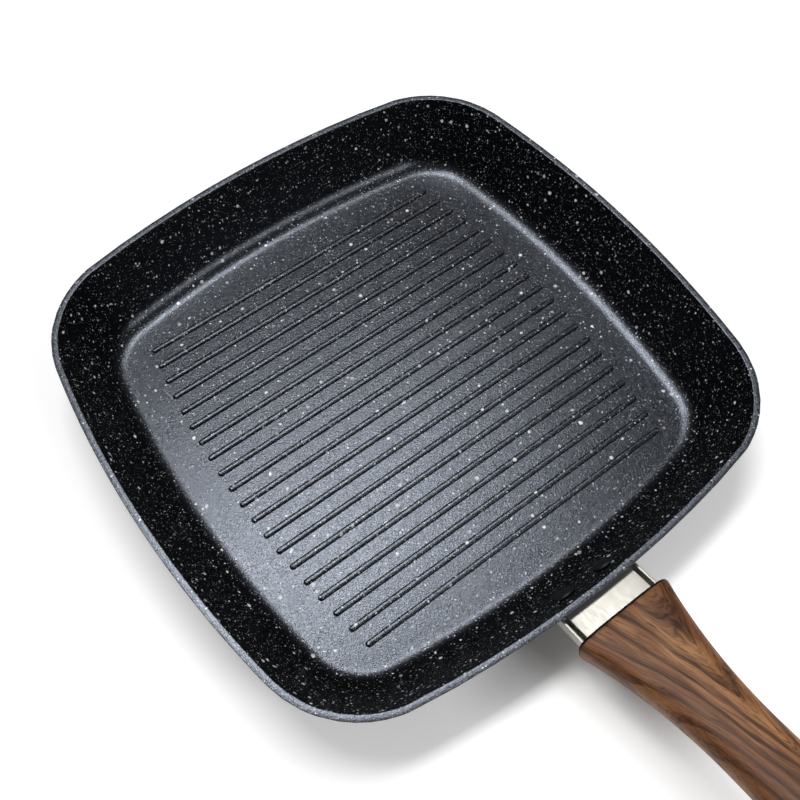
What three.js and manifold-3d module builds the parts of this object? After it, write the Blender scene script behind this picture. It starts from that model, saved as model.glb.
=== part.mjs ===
// Square grill pan: a cast body with raised ribs, an induction plate in its base, and a
// wood-effect grip on a riveted steel bracket with a flame guard. Millimetres, +Z up.
// The origin is the middle of the base on the hob, and +X points along the handle.
import * as THREE from "three";
import { mergeVertices } from "three/addons/utils/BufferGeometryUtils.js";
import Module from "manifold-3d";

const wasm = await Module();
wasm.setup();

// Clearance between pieces that seat on each other
const SEAT_GAP = 0.3;

// Pan body: one wall profile carried round a square with bowed sides and round corners
const RIM_WIDTH = 280;
const RIM_CORNER_RADIUS = 53.5;
const SIDE_BOW_RADIUS = 525;
const PAN_HEIGHT = 39.5;
const RIM_THICKNESS = 3.2;
const RIM_CHAMFER = 0.5;
const FLOOR_THICKNESS = 5;
const FLOOR_INSET = 28;
const FLOOR_FILLET_RADIUS = 12;

// Ribs across the floor, square to the handle
const RIB_PITCH = 9.8;
const RIB_WIDTH = 3;
const RIB_HEIGHT = 1.4;
const RIB_SIDE_INSET = 44;
const RIB_END_INSET = 43;
// Shares of a rib's width and height, from the floor to its rounded crown
const RIB_CROWN = [[1, 0], [0.92, 0.5], [0.7, 0.85], [0.3, 1]];

// Induction plate let into the base
const PLATE_DIAMETER = 190;
const PLATE_THICKNESS = 1.2;
const PLATE_HOLE_DIAMETER = 8;
const PLATE_RING_PITCH = 26;
const PLATE_EDGE_MARGIN = 8;

// Handle line: it leaves the wall below the rim and rises along +X
const HANDLE_RISE_DEG = 14.5;
const HANDLE_BELOW_RIM = 5.3;

// Bracket: one strip bent to lie on the wall, run out as an arm and end in a tab
const BRACKET_THICKNESS = 2.5;
const BRACKET_WIDTH = 35.8;
const FLANGE_HEIGHT = 12.5;
const TONGUE_WIDTH = 18;
const TONGUE_END = 39;
const TAB_MARGIN = 1;

// Rivets through the wall and the bracket's flange
const RIVET_SPACING = 22;
const RIVET_SHANK_DIAMETER = 4.5;
const RIVET_HEAD_DIAMETER = 10;
const RIVET_HEAD_EDGE = 0.5;
const RIVET_HEAD_DOME = 1.1;
const RIVET_UPSET_DIAMETER = 7;
const RIVET_UPSET_HEIGHT = 1.6;
const RIVET_UPSET_CHAMFER = 0.8;
const RIVET_HEAD_GAP = 0.45;

// Flame guard: a shallow channel round the arm between the wall and the grip
const GUARD_HEIGHT = 8.7;
const GUARD_GROOVE = 1.9;
const GUARD_THICKNESS = 1.2;
const GUARD_BEND_RADIUS = 3;
const GUARD_INSERTION = 3;

// Grip: a loft along the handle line of a square-shouldered crown over a round belly
const GRIP_START = 12;
const GRIP_LENGTH = 185;
const GRIP_FLARE_LENGTH = 70;
const GRIP_SIDE_LIP = 4.1;
const GRIP_TOP_LIP = 6;
const GRIP_BOTTOM_LIP = 3.7;
const GRIP_WIDEST_DROP = 2.5;
const GRIP_NECK_WIDTH = 28;
const GRIP_NECK_CROWN = 7.5;
const GRIP_BORE_WALL = 2.2;
const GRIP_TAIL_WIDTH = 32;
const GRIP_TAIL_CROWN = 8;
const GRIP_TAIL_BELLY = 10;
const GRIP_TAIL_DROP = 2;
const GRIP_FRONT_SQUARENESS = 4.2;
const GRIP_NECK_SQUARENESS = 2.7;
const GRIP_BELLY_SQUARENESS = 2.4;
const GRIP_FRONT_ROUND = 3;
const GRIP_TAIL_ROUND = 15;

// Hanging slot through the tail, and the cavities inside the grip
const SLOT_LENGTH = 22;
const SLOT_WIDTH = 10;
const SLOT_TO_TAIL = 10;
const WEB_THICKNESS = 9;

// Screw, washers and nut on one axis below the tongue
const SCREW_DIAMETER = 5;
const SCREW_HEAD_DIAMETER = 9;
const SCREW_HEAD_HEIGHT = 3.2;
const SCREW_HEAD_CHAMFER = 1.1;
const SCREW_TIP_PROUD = 1.5;
const SCREW_TIP_CHAMFER = 0.7;
const DRIVER_BORE_DIAMETER = 11;
const NUT_ACROSS_FLATS = 8;
const NUT_THICKNESS = 4;
const WASHER_DIAMETER = 10;
const WASHER_THICKNESS = 1;
const SPRING_WASHER_DIAMETER = 8.6;
const SPRING_WASHER_THICKNESS = 1.3;
const SPRING_WASHER_SPLIT_DEG = 14;

// Facets
const CORNER_STEPS = 10;
const SIDE_STEPS = 6;
const FILLET_STEPS = 6;
const GRIP_SIDES = 36;
const ROUND_SIDES = 24;
const HOLE_SIDES = 10;
const BEND_STEPS = 4;
const GRIP_STEPS = 18;
const TAIL_STEPS = 9;
const CUT_PAST = 1;

// Sizes that follow from the ones above
const RIM_HALF = RIM_WIDTH / 2;
const FLOOR_Z = FLOOR_THICKNESS;
const GUARD_WIDTH = BRACKET_WIDTH + 2 * (GUARD_GROOVE + GUARD_THICKNESS);
const SCREW_DROP = BRACKET_THICKNESS + SEAT_GAP + NUT_ACROSS_FLATS / 2;
const TAB_HEIGHT = SCREW_DROP + NUT_ACROSS_FLATS / 2 + TAB_MARGIN;
const GRIP_FRONT_WIDTH = GUARD_WIDTH + 2 * GRIP_SIDE_LIP;
const GRIP_FRONT_CROWN = GRIP_TOP_LIP + GRIP_WIDEST_DROP;
const GRIP_FRONT_BELLY = TAB_HEIGHT - GRIP_WIDEST_DROP + GRIP_BOTTOM_LIP;
const GRIP_NECK_BELLY = SCREW_DROP + DRIVER_BORE_DIAMETER / 2 - GRIP_WIDEST_DROP + GRIP_BORE_WALL;
const RIVET_BACK = SEAT_GAP + BRACKET_THICKNESS + RIVET_HEAD_GAP;
const QUARTER = Math.PI / 2;

function steps(from, to, count) {
  return Array.from({ length: count + 1 }, (_, i) => from + ((to - from) * i) / count);
}

// Solids from geometry and back

function toSolid(geometry) {
  const bare = geometry.clone();
  bare.deleteAttribute("normal");
  bare.deleteAttribute("uv");
  const merged = mergeVertices(bare, 1e-4);
  return new wasm.Manifold(
    new wasm.Mesh({
      numProp: 3,
      vertProperties: new Float32Array(merged.attributes.position.array),
      triVerts: new Uint32Array(merged.index.array),
    })
  );
}

function toGeometry(solid) {
  const mesh = solid.getMesh();
  const geometry = new THREE.BufferGeometry();
  geometry.setAttribute("position", new THREE.BufferAttribute(mesh.vertProperties, 3));
  geometry.setIndex(new THREE.BufferAttribute(mesh.triVerts, 1));
  return geometry;
}

// A closed skin over rings of points that turn anticlockwise, with a flat fan over each end
function skin(rings) {
  const count = rings[0].length;
  const positions = rings.flat(2);
  const index = [];
  for (let j = 0; j + 1 < rings.length; j += 1) {
    for (let i = 0; i < count; i += 1) {
      const next = (i + 1) % count;
      const a = j * count + i;
      const b = j * count + next;
      index.push(a, b, b + count, a, b + count, a + count);
    }
  }
  for (const [ring, turn] of [[0, -1], [rings.length - 1, 1]]) {
    const middle = new THREE.Vector3();
    rings[ring].forEach((point) => middle.add(new THREE.Vector3(...point)));
    middle.divideScalar(count);
    const hub = positions.length / 3;
    positions.push(middle.x, middle.y, middle.z);
    for (let i = 0; i < count; i += 1) {
      const a = ring * count + i;
      const b = ring * count + ((i + 1) % count);
      index.push(hub, turn > 0 ? a : b, turn > 0 ? b : a);
    }
  }
  const geometry = new THREE.BufferGeometry();
  geometry.setAttribute("position", new THREE.Float32BufferAttribute(positions, 3));
  geometry.setIndex(index);
  return geometry;
}

function extruded(shape, depth, curveSegments = ROUND_SIDES / 4) {
  return new THREE.ExtrudeGeometry(shape, { depth, bevelEnabled: false, curveSegments });
}

function block(size, low) {
  const geometry = new THREE.BoxGeometry(...size);
  return geometry.translate(low[0] + size[0] / 2, low[1] + size[1] / 2, low[2] + size[2] / 2);
}

// A revolved solid whose profile of [radius, height] pairs starts and ends on the axis
function turned(profile, sides = ROUND_SIDES) {
  const geometry = new THREE.LatheGeometry(profile.map(([r, z]) => new THREE.Vector2(r, z)), sides);
  return geometry.rotateX(QUARTER);
}

// Rim outline. A point is named by the direction of the outline's normal there, so every
// inset of the outline is the same arcs about the same centres with shorter radii.
const BOW_CENTRE = SIDE_BOW_RADIUS - RIM_HALF;
const CORNER_REACH = SIDE_BOW_RADIUS - RIM_CORNER_RADIUS;
const CORNER_CENTRE = (Math.sqrt(2 * CORNER_REACH ** 2 - BOW_CENTRE ** 2) - BOW_CENTRE) / 2;
const SIDE_HALF_ANGLE = Math.atan2(CORNER_CENTRE, CORNER_CENTRE + BOW_CENTRE);

function outlinePoint(angle, inset) {
  const side = Math.round(angle / QUARTER) * QUARTER;
  const local = angle - side;
  const onSide = Math.abs(local) <= SIDE_HALF_ANGLE + 1e-9;
  const centre = onSide
    ? new THREE.Vector2(-BOW_CENTRE, 0)
    : new THREE.Vector2(CORNER_CENTRE, Math.sign(local) * CORNER_CENTRE);
  const radius = (onSide ? SIDE_BOW_RADIUS : RIM_CORNER_RADIUS) - inset;
  centre.rotateAround(new THREE.Vector2(), side);
  return [centre.x + radius * Math.cos(angle), centre.y + radius * Math.sin(angle)];
}

const OUTLINE_ANGLES = [0, 1, 2, 3].flatMap((quarter) => [
  ...steps(-SIDE_HALF_ANGLE, SIDE_HALF_ANGLE, SIDE_STEPS).slice(0, -1),
  ...steps(SIDE_HALF_ANGLE, QUARTER - SIDE_HALF_ANGLE, CORNER_STEPS).slice(0, -1),
].map((angle) => angle + quarter * QUARTER));

function outlineRing([inset, z]) {
  return OUTLINE_ANGLES.map((angle) => [...outlinePoint(angle, inset), z]);
}

// Wall profile as [inset from the rim's outside, height] pairs. Inside and outside are each
// a line from the rim that runs tangent into a fillet round one shared centre.
const FILLET_CENTRE_Z = FLOOR_Z + FLOOR_FILLET_RADIUS;
const OUTER_FILLET_RADIUS = FILLET_CENTRE_Z;

// Lean from the vertical of the line from a rim edge that touches the fillet
function wallLean(rimInset, filletRadius) {
  const across = FLOOR_INSET - rimInset;
  const down = PAN_HEIGHT - FILLET_CENTRE_Z;
  return Math.atan2(across, down) - Math.asin(filletRadius / Math.hypot(across, down));
}

const INNER_LEAN = wallLean(RIM_THICKNESS, FLOOR_FILLET_RADIUS);
const OUTER_LEAN = wallLean(0, OUTER_FILLET_RADIUS);

function fillet(radius, lean) {
  return steps(0, QUARTER - lean, FILLET_STEPS).map((turn) => [
    FLOOR_INSET - radius * Math.sin(turn),
    FILLET_CENTRE_Z - radius * Math.cos(turn),
  ]);
}

function outerInset(z) {
  return (PAN_HEIGHT - z) * Math.tan(OUTER_LEAN);
}

function innerInset(z) {
  return RIM_THICKNESS + (PAN_HEIGHT - z) * Math.tan(INNER_LEAN);
}

const OUTER_WALL = fillet(OUTER_FILLET_RADIUS, OUTER_LEAN);
const INNER_WALL = fillet(FLOOR_FILLET_RADIUS, INNER_LEAN).reverse();

const CHAMFER_Z = PAN_HEIGHT - RIM_CHAMFER;
const RIM_EDGE = [
  [outerInset(CHAMFER_Z), CHAMFER_Z],
  [RIM_CHAMFER, PAN_HEIGHT],
  [RIM_THICKNESS - RIM_CHAMFER, PAN_HEIGHT],
  [innerInset(CHAMFER_Z), CHAMFER_Z],
];

// The outside of the pan grown by a gap, to trim what seats against the wall
function panEnvelope(gap) {
  const profile = [...OUTER_WALL, [0, PAN_HEIGHT], [0, PAN_HEIGHT + CUT_PAST]];
  return skin(profile.map(([inset, z]) => outlineRing([inset - gap, z])));
}

// Pan body

function ribHalfLength(x) {
  return Math.sqrt((SIDE_BOW_RADIUS - RIB_END_INSET) ** 2 - x ** 2) - BOW_CENTRE;
}

// A bead with round ends along Y, from a foot inside the floor to its crown
function rib(x) {
  const reach = ribHalfLength(x) - RIB_WIDTH / 2;
  const ring = (width, z) =>
    steps(0, 2 * Math.PI, HOLE_SIDES).slice(0, -1).map((turn) => {
      const end = Math.sin(turn + 1e-6) > 0 ? reach : -reach;
      return [x + (width / 2) * Math.cos(turn), end + (width / 2) * Math.sin(turn), z];
    });
  return skin([
    ring(RIB_WIDTH, FLOOR_Z - CUT_PAST),
    ...RIB_CROWN.map(([width, height]) => ring(RIB_WIDTH * width, FLOOR_Z + RIB_HEIGHT * height)),
  ]);
}

const RIB_COUNT = Math.floor((2 * (RIM_HALF - RIB_SIDE_INSET)) / RIB_PITCH) + 1;

function panBody() {
  let body = toSolid(skin([...OUTER_WALL, ...RIM_EDGE, ...INNER_WALL].map(outlineRing)));
  for (let i = 0; i < RIB_COUNT; i += 1) {
    body = body.add(toSolid(rib((i - (RIB_COUNT - 1) / 2) * RIB_PITCH)));
  }
  const recessRadius = PLATE_DIAMETER / 2 + SEAT_GAP;
  const recess = turned([
    [0, -CUT_PAST],
    [recessRadius, -CUT_PAST],
    [recessRadius, PLATE_THICKNESS + SEAT_GAP],
    [0, PLATE_THICKNESS + SEAT_GAP],
  ], 2 * ROUND_SIDES);
  body = body.subtract(toSolid(recess));
  for (const side of [-1, 1]) {
    body = body.subtract(toSolid(rivetHole(side)));
  }
  return toGeometry(body);
}

// Induction plate: a disc with rings of punched holes

function circlePoints(x, y, diameter, sides) {
  return steps(0, 2 * Math.PI, sides).slice(0, -1).map(
    (turn) => new THREE.Vector2(x + (diameter / 2) * Math.cos(turn), y + (diameter / 2) * Math.sin(turn))
  );
}

function inductionPlate() {
  const shape = new THREE.Shape(circlePoints(0, 0, PLATE_DIAMETER, 2 * ROUND_SIDES));
  const outerRing = PLATE_DIAMETER / 2 - PLATE_EDGE_MARGIN - PLATE_HOLE_DIAMETER / 2;
  const ringCount = Math.floor(outerRing / PLATE_RING_PITCH);
  for (let ring = 1; ring <= ringCount; ring += 1) {
    const radius = (outerRing * ring) / ringCount;
    const holeCount = 6 * ring;
    for (let i = 0; i < holeCount; i += 1) {
      const turn = (2 * Math.PI * i) / holeCount;
      const x = radius * Math.cos(turn);
      const y = radius * Math.sin(turn);
      shape.holes.push(new THREE.Path(circlePoints(x, y, PLATE_HOLE_DIAMETER, HOLE_SIDES)));
    }
  }
  return extruded(shape, PLATE_THICKNESS);
}

// Handle frame: local X along the handle, Y across it and Z square to the arm's top face,
// with its origin on that face below the rim's outside edge.
const handleRise = THREE.MathUtils.degToRad(HANDLE_RISE_DEG);
const handle = new THREE.Group();
handle.position.set(RIM_HALF, 0, PAN_HEIGHT - HANDLE_BELOW_RIM);
handle.rotation.y = -handleRise;
handle.updateMatrix();
const toHandle = handle.matrix.clone().invert();
const HANDLE_ROOT = -RIM_HALF / 4;

function wallTrim(gap) {
  return toSolid(panEnvelope(gap).applyMatrix4(toHandle));
}

// Rivets: midway down the flange below the arm, square to the middle of the wall
const ARM_Z = PAN_HEIGHT - HANDLE_BELOW_RIM;
const RIVET_Z = ARM_Z - (BRACKET_THICKNESS + FLANGE_HEIGHT) / 2;
const RIVET_LEAN = (INNER_LEAN + OUTER_LEAN) / 2;
const WALL_AT_RIVET = (innerInset(RIVET_Z) - outerInset(RIVET_Z)) * Math.cos(RIVET_LEAN);

function rivetPlace(side) {
  const y = (side * RIVET_SPACING) / 2;
  const bow = SIDE_BOW_RADIUS - outerInset(RIVET_Z);
  const x = Math.sqrt(bow ** 2 - y ** 2) - BOW_CENTRE;
  const inward = new THREE.Matrix4().makeRotationY(-QUARTER + RIVET_LEAN);
  return new THREE.Matrix4().makeTranslation(x, y, RIVET_Z).multiply(inward);
}

function rivetHole(side) {
  const reach = WALL_AT_RIVET + FLANGE_HEIGHT;
  const radius = RIVET_SHANK_DIAMETER / 2 + SEAT_GAP;
  const bore = turned([[0, -reach], [radius, -reach], [radius, reach], [0, reach]]);
  return bore.applyMatrix4(rivetPlace(side));
}

// Domed head inside the pan, shank through wall and flange, upset head behind the flange
function rivet() {
  const seat = WALL_AT_RIVET + RIVET_HEAD_GAP;
  const back = -RIVET_BACK;
  const headRadius = RIVET_HEAD_DIAMETER / 2;
  const shank = RIVET_SHANK_DIAMETER / 2;
  const upset = RIVET_UPSET_DIAMETER / 2;
  const dome = steps(0, QUARTER, BEND_STEPS).slice(0, -1).map((turn) => [
    headRadius * Math.cos(turn),
    seat + RIVET_HEAD_EDGE + RIVET_HEAD_DOME * Math.sin(turn),
  ]);
  return turned([
    [0, back - RIVET_UPSET_HEIGHT],
    [upset - RIVET_UPSET_CHAMFER, back - RIVET_UPSET_HEIGHT],
    [upset, back - RIVET_UPSET_HEIGHT + RIVET_UPSET_CHAMFER],
    [upset, back],
    [shank, back],
    [shank, seat],
    [headRadius, seat],
    ...dome,
    [0, seat + RIVET_HEAD_EDGE + RIVET_HEAD_DOME],
  ]);
}

// Bracket: flange on the wall, arm, narrower tongue inside the grip and a tab for the screw

function bracket() {
  const halfWidth = BRACKET_WIDTH / 2;
  const outside = wallTrim(SEAT_GAP + BRACKET_THICKNESS / Math.cos(OUTER_LEAN));
  const slab = block(
    [RIM_HALF, BRACKET_WIDTH, FLANGE_HEIGHT],
    [RIM_HALF / 2, -halfWidth, ARM_Z - FLANGE_HEIGHT]
  ).applyMatrix4(toHandle);
  const wideEnd = GRIP_START + GUARD_INSERTION - SEAT_GAP;
  const arm = block(
    [wideEnd - HANDLE_ROOT, BRACKET_WIDTH, BRACKET_THICKNESS],
    [HANDLE_ROOT, -halfWidth, -BRACKET_THICKNESS]
  );
  const tongue = block(
    [TONGUE_END - HANDLE_ROOT, TONGUE_WIDTH, BRACKET_THICKNESS],
    [HANDLE_ROOT, -TONGUE_WIDTH / 2, -BRACKET_THICKNESS]
  );
  const tab = block(
    [BRACKET_THICKNESS, TONGUE_WIDTH, TAB_HEIGHT],
    [TONGUE_END - BRACKET_THICKNESS, -TONGUE_WIDTH / 2, -TAB_HEIGHT]
  );
  const abovePlate = block(
    [RIM_WIDTH, RIM_WIDTH, PAN_HEIGHT],
    [-RIM_HALF, -RIM_HALF, 0]
  );
  let solid = toSolid(slab).intersect(outside);
  solid = solid.add(toSolid(arm)).add(toSolid(tongue)).add(toSolid(tab));
  solid = solid.subtract(wallTrim(SEAT_GAP)).subtract(toSolid(abovePlate));
  solid = solid.subtract(toSolid(screwBore(TONGUE_END - 2 * BRACKET_THICKNESS, TONGUE_END + CUT_PAST)));
  for (const side of [-1, 1]) {
    solid = solid.subtract(toSolid(rivetHole(side).applyMatrix4(toHandle)));
  }
  return toGeometry(solid);
}

// Flame guard: a channel with round bends. Its cheeks end at the wall, and its bottom ends
// clear of the flange and the rivets.

function guardSection(inset) {
  const half = GUARD_WIDTH / 2 - inset;
  const foot = -GUARD_HEIGHT + inset;
  const bend = GUARD_BEND_RADIUS - inset;
  return [
    [half, 0],
    ...steps(0, -QUARTER, BEND_STEPS).map((turn) => [
      half - bend + bend * Math.cos(turn),
      foot + bend + bend * Math.sin(turn),
    ]),
    ...steps(-QUARTER, -2 * QUARTER, BEND_STEPS).map((turn) => [
      -half + bend + bend * Math.cos(turn),
      foot + bend + bend * Math.sin(turn),
    ]),
    [-half, 0],
  ];
}

// A prism along the handle from a section of [across, height] points
function alongHandle(section, from, to) {
  const shape = new THREE.Shape(section.map(([y, z]) => new THREE.Vector2(y, z)));
  const geometry = extruded(shape, to - from);
  const turn = new THREE.Matrix4().makeBasis(
    new THREE.Vector3(0, 1, 0),
    new THREE.Vector3(0, 0, 1),
    new THREE.Vector3(1, 0, 0)
  );
  return geometry.applyMatrix4(turn).translate(from, 0, 0);
}

function flameGuard() {
  const section = [...guardSection(0), ...guardSection(GUARD_THICKNESS).reverse()];
  const end = GRIP_START + GUARD_INSERTION - SEAT_GAP;
  const channel = toSolid(alongHandle(section, HANDLE_ROOT, end));
  const rivetReach = (RIVET_BACK + RIVET_UPSET_HEIGHT) / Math.cos(OUTER_LEAN) + SEAT_GAP;
  const roomWidth = BRACKET_WIDTH + 2 * SEAT_GAP;
  const room = block(
    [end - HANDLE_ROOT, roomWidth, GUARD_HEIGHT + CUT_PAST],
    [HANDLE_ROOT, -roomWidth / 2, -GUARD_HEIGHT - CUT_PAST]
  );
  const flangeRoom = toSolid(room).intersect(wallTrim(rivetReach));
  return toGeometry(channel.subtract(wallTrim(SEAT_GAP)).subtract(flangeRoom));
}

// Grip

// Width or height along the grip: a parabola from the front to the neck, then a smooth swell
function gripSize(along, front, neck, tail) {
  if (along < GRIP_FLARE_LENGTH) {
    return neck + (front - neck) * (1 - along / GRIP_FLARE_LENGTH) ** 2;
  }
  const t = (along - GRIP_FLARE_LENGTH) / (GRIP_LENGTH - GRIP_FLARE_LENGTH);
  return neck + (tail - neck) * t * t * (3 - 2 * t);
}

function gripWidest(along) {
  return -GRIP_WIDEST_DROP - GRIP_TAIL_DROP * (along / GRIP_LENGTH) ** 2;
}

// Section across the handle, drawn in at the ends by a quarter round
function gripRing(along, inset, shrink) {
  const width = gripSize(along, GRIP_FRONT_WIDTH, GRIP_NECK_WIDTH, GRIP_TAIL_WIDTH);
  const crown = gripSize(along, GRIP_FRONT_CROWN, GRIP_NECK_CROWN, GRIP_TAIL_CROWN);
  const belly = gripSize(along, GRIP_FRONT_BELLY, GRIP_NECK_BELLY, GRIP_TAIL_BELLY);
  const shoulder = gripSize(along, GRIP_FRONT_SQUARENESS, GRIP_NECK_SQUARENESS, GRIP_NECK_SQUARENESS);
  const soft = (value, power) => Math.sign(value) * Math.abs(value) ** (2 / power);
  return steps(0, 2 * Math.PI, GRIP_SIDES).slice(0, -1).map((turn) => {
    const above = Math.sin(turn) > 0;
    const power = above ? shoulder : GRIP_BELLY_SQUARENESS;
    const height = above ? crown : belly;
    return [
      GRIP_START + along,
      (width / 2 - inset) * shrink * soft(Math.cos(turn), power),
      gripWidest(along) + (height - inset) * shrink * soft(Math.sin(turn), power),
    ];
  });
}

function gripBlank() {
  const front = steps(0, QUARTER, BEND_STEPS).map((turn) =>
    gripRing(GRIP_FRONT_ROUND * (1 - Math.cos(turn)), GRIP_FRONT_ROUND * (1 - Math.sin(turn)), 1)
  );
  const bodyEnd = GRIP_LENGTH - GRIP_TAIL_ROUND;
  const alongBody = steps(GRIP_FRONT_ROUND, bodyEnd, GRIP_STEPS).slice(1);
  const body = alongBody.map((along) => gripRing(along, 0, 1));
  const tail = steps(0, QUARTER, TAIL_STEPS).slice(1, -1).map((turn) =>
    gripRing(bodyEnd + GRIP_TAIL_ROUND * Math.sin(turn), 0, Math.cos(turn))
  );
  return skin([...front, ...body, ...tail]);
}

// A round bore along the screw's axis
function boreAlong(diameter, from, to) {
  const radius = diameter / 2;
  const bore = turned([[0, from], [radius, from], [radius, to], [0, to]]);
  return bore.rotateY(QUARTER).translate(0, 0, -SCREW_DROP);
}

function screwBore(from, to) {
  return boreAlong(SCREW_DIAMETER + 2 * SEAT_GAP, from, to);
}

const WEB_START = TONGUE_END + SEAT_GAP;
const WEB_END = WEB_START + WEB_THICKNESS;
const SLOT_END = GRIP_START + GRIP_LENGTH - SLOT_TO_TAIL;
const SLOT_START = SLOT_END - SLOT_LENGTH;

// Oblong hole through the tail, square to the handle line
function hangingSlot() {
  const radius = SLOT_WIDTH / 2;
  const shape = new THREE.Shape();
  shape.absarc(SLOT_END - radius, 0, radius, -QUARTER, QUARTER);
  shape.absarc(SLOT_START + radius, 0, radius, QUARTER, 3 * QUARTER);
  const reach = GRIP_FRONT_CROWN + GRIP_FRONT_BELLY + GRIP_TAIL_DROP;
  return extruded(shape, 2 * reach).translate(0, 0, -reach);
}

function grip() {
  const rebateHalf = GUARD_WIDTH / 2 + SEAT_GAP;
  const rebateTop = [[-rebateHalf, SEAT_GAP], [rebateHalf, SEAT_GAP]];
  const rebate = alongHandle(
    [...guardSection(-SEAT_GAP), ...rebateTop],
    HANDLE_ROOT,
    GRIP_START + GUARD_INSERTION
  );
  const pocketHalf = TONGUE_WIDTH / 2 + SEAT_GAP;
  const pocket = block(
    [WEB_START - HANDLE_ROOT, 2 * pocketHalf, TAB_HEIGHT + 2 * SEAT_GAP],
    [HANDLE_ROOT, -pocketHalf, -TAB_HEIGHT - SEAT_GAP]
  );
  let solid = toSolid(gripBlank());
  for (const cut of [
    rebate,
    pocket,
    screwBore(WEB_START - CUT_PAST, WEB_END + CUT_PAST),
    boreAlong(DRIVER_BORE_DIAMETER, WEB_END, SLOT_START + SLOT_WIDTH / 2),
    hangingSlot(),
  ]) {
    solid = solid.subtract(toSolid(cut));
  }
  return toGeometry(solid);
}

// Fasteners inside the grip, listed from the pan outwards along the screw's axis

const NUT_END = TONGUE_END - BRACKET_THICKNESS - SEAT_GAP;
const NUT_START = NUT_END - NUT_THICKNESS;
const WASHER_START = WEB_END + SEAT_GAP;
const SPRING_START = WASHER_START + WASHER_THICKNESS + SEAT_GAP;
const HEAD_START = SPRING_START + SPRING_WASHER_THICKNESS + SEAT_GAP;

// A flat ring about the screw's axis, from a shape drawn round the origin
function ringAlong(shape, from, thickness) {
  const geometry = extruded(shape, thickness);
  return geometry.rotateY(QUARTER).translate(from, 0, -SCREW_DROP);
}

const FASTENER_BORE = SCREW_DIAMETER / 2 + SEAT_GAP;

function weldNut() {
  const corner = NUT_ACROSS_FLATS / 2 / Math.cos(Math.PI / 6);
  const shape = new THREE.Shape(
    steps(Math.PI / 6, Math.PI / 6 + 2 * Math.PI, 6).slice(0, -1).map(
      (turn) => new THREE.Vector2(corner * Math.cos(turn), corner * Math.sin(turn))
    )
  );
  shape.holes.push(new THREE.Path().absarc(0, 0, FASTENER_BORE, 0, 2 * Math.PI));
  return ringAlong(shape, NUT_START, NUT_THICKNESS);
}

function flatWasher() {
  const shape = new THREE.Shape();
  shape.absarc(0, 0, WASHER_DIAMETER / 2, 0, 2 * Math.PI);
  shape.holes.push(new THREE.Path().absarc(0, 0, FASTENER_BORE, 0, 2 * Math.PI));
  return ringAlong(shape, WASHER_START, WASHER_THICKNESS);
}

function springWasher() {
  const split = THREE.MathUtils.degToRad(SPRING_WASHER_SPLIT_DEG) / 2;
  const shape = new THREE.Shape();
  shape.absarc(0, 0, SPRING_WASHER_DIAMETER / 2, split, 2 * Math.PI - split);
  shape.absarc(0, 0, FASTENER_BORE, 2 * Math.PI - split, split, true);
  return ringAlong(shape, SPRING_START, SPRING_WASHER_THICKNESS);
}

function screw() {
  const shank = SCREW_DIAMETER / 2;
  const head = SCREW_HEAD_DIAMETER / 2;
  const tip = NUT_START - SCREW_TIP_PROUD;
  const headEnd = HEAD_START + SCREW_HEAD_HEIGHT;
  const geometry = turned([
    [0, tip],
    [shank - SCREW_TIP_CHAMFER, tip],
    [shank, tip + SCREW_TIP_CHAMFER],
    [shank, HEAD_START],
    [head, HEAD_START],
    [head, headEnd - SCREW_HEAD_CHAMFER],
    [head - SCREW_HEAD_CHAMFER, headEnd],
    [0, headEnd],
  ]);
  return geometry.rotateY(QUARTER).translate(0, 0, -SCREW_DROP);
}

// Finishes and assembly

function finish(color, roughness, metalness) {
  return new THREE.MeshStandardMaterial({ color, roughness, metalness });
}

const graniteCoating = finish("#23252b", 0.5, 0.1);
const ferriticSteel = finish("#a9a9a6", 0.4, 1);
const satinSteel = finish("#d6d5d0", 0.3, 1);
const zincSteel = finish("#b4b6ba", 0.4, 1);
const walnutFilm = finish("#6b4630", 0.45, 0);

const pan = new THREE.Group();

function place(parent, name, geometry, material) {
  const mesh = new THREE.Mesh(geometry, material);
  mesh.name = name;
  parent.add(mesh);
  return mesh;
}

place(pan, "pan_body", panBody(), graniteCoating);
place(pan, "induction_plate", inductionPlate(), ferriticSteel);
for (const [name, side] of [["rivet_left", 1], ["rivet_right", -1]]) {
  place(pan, name, rivet(), graniteCoating).applyMatrix4(rivetPlace(side));
}
place(handle, "handle_bracket", bracket(), satinSteel);
place(handle, "flame_guard", flameGuard(), satinSteel);
place(handle, "grip", grip(), walnutFilm);
place(handle, "weld_nut", weldNut(), zincSteel);
place(handle, "flat_washer", flatWasher(), zincSteel);
place(handle, "spring_washer", springWasher(), zincSteel);
place(handle, "handle_screw", screw(), zincSteel);
pan.add(handle);

export default pan;
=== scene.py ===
"""Finished looks of a square grill pan, built round its packed solids.

The file is laid out as an add-on and is run as a script: main() registers the panel and the
operators, then calls each operator once. Lengths are metres, and +X points along the handle.
"""
import math

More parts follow.
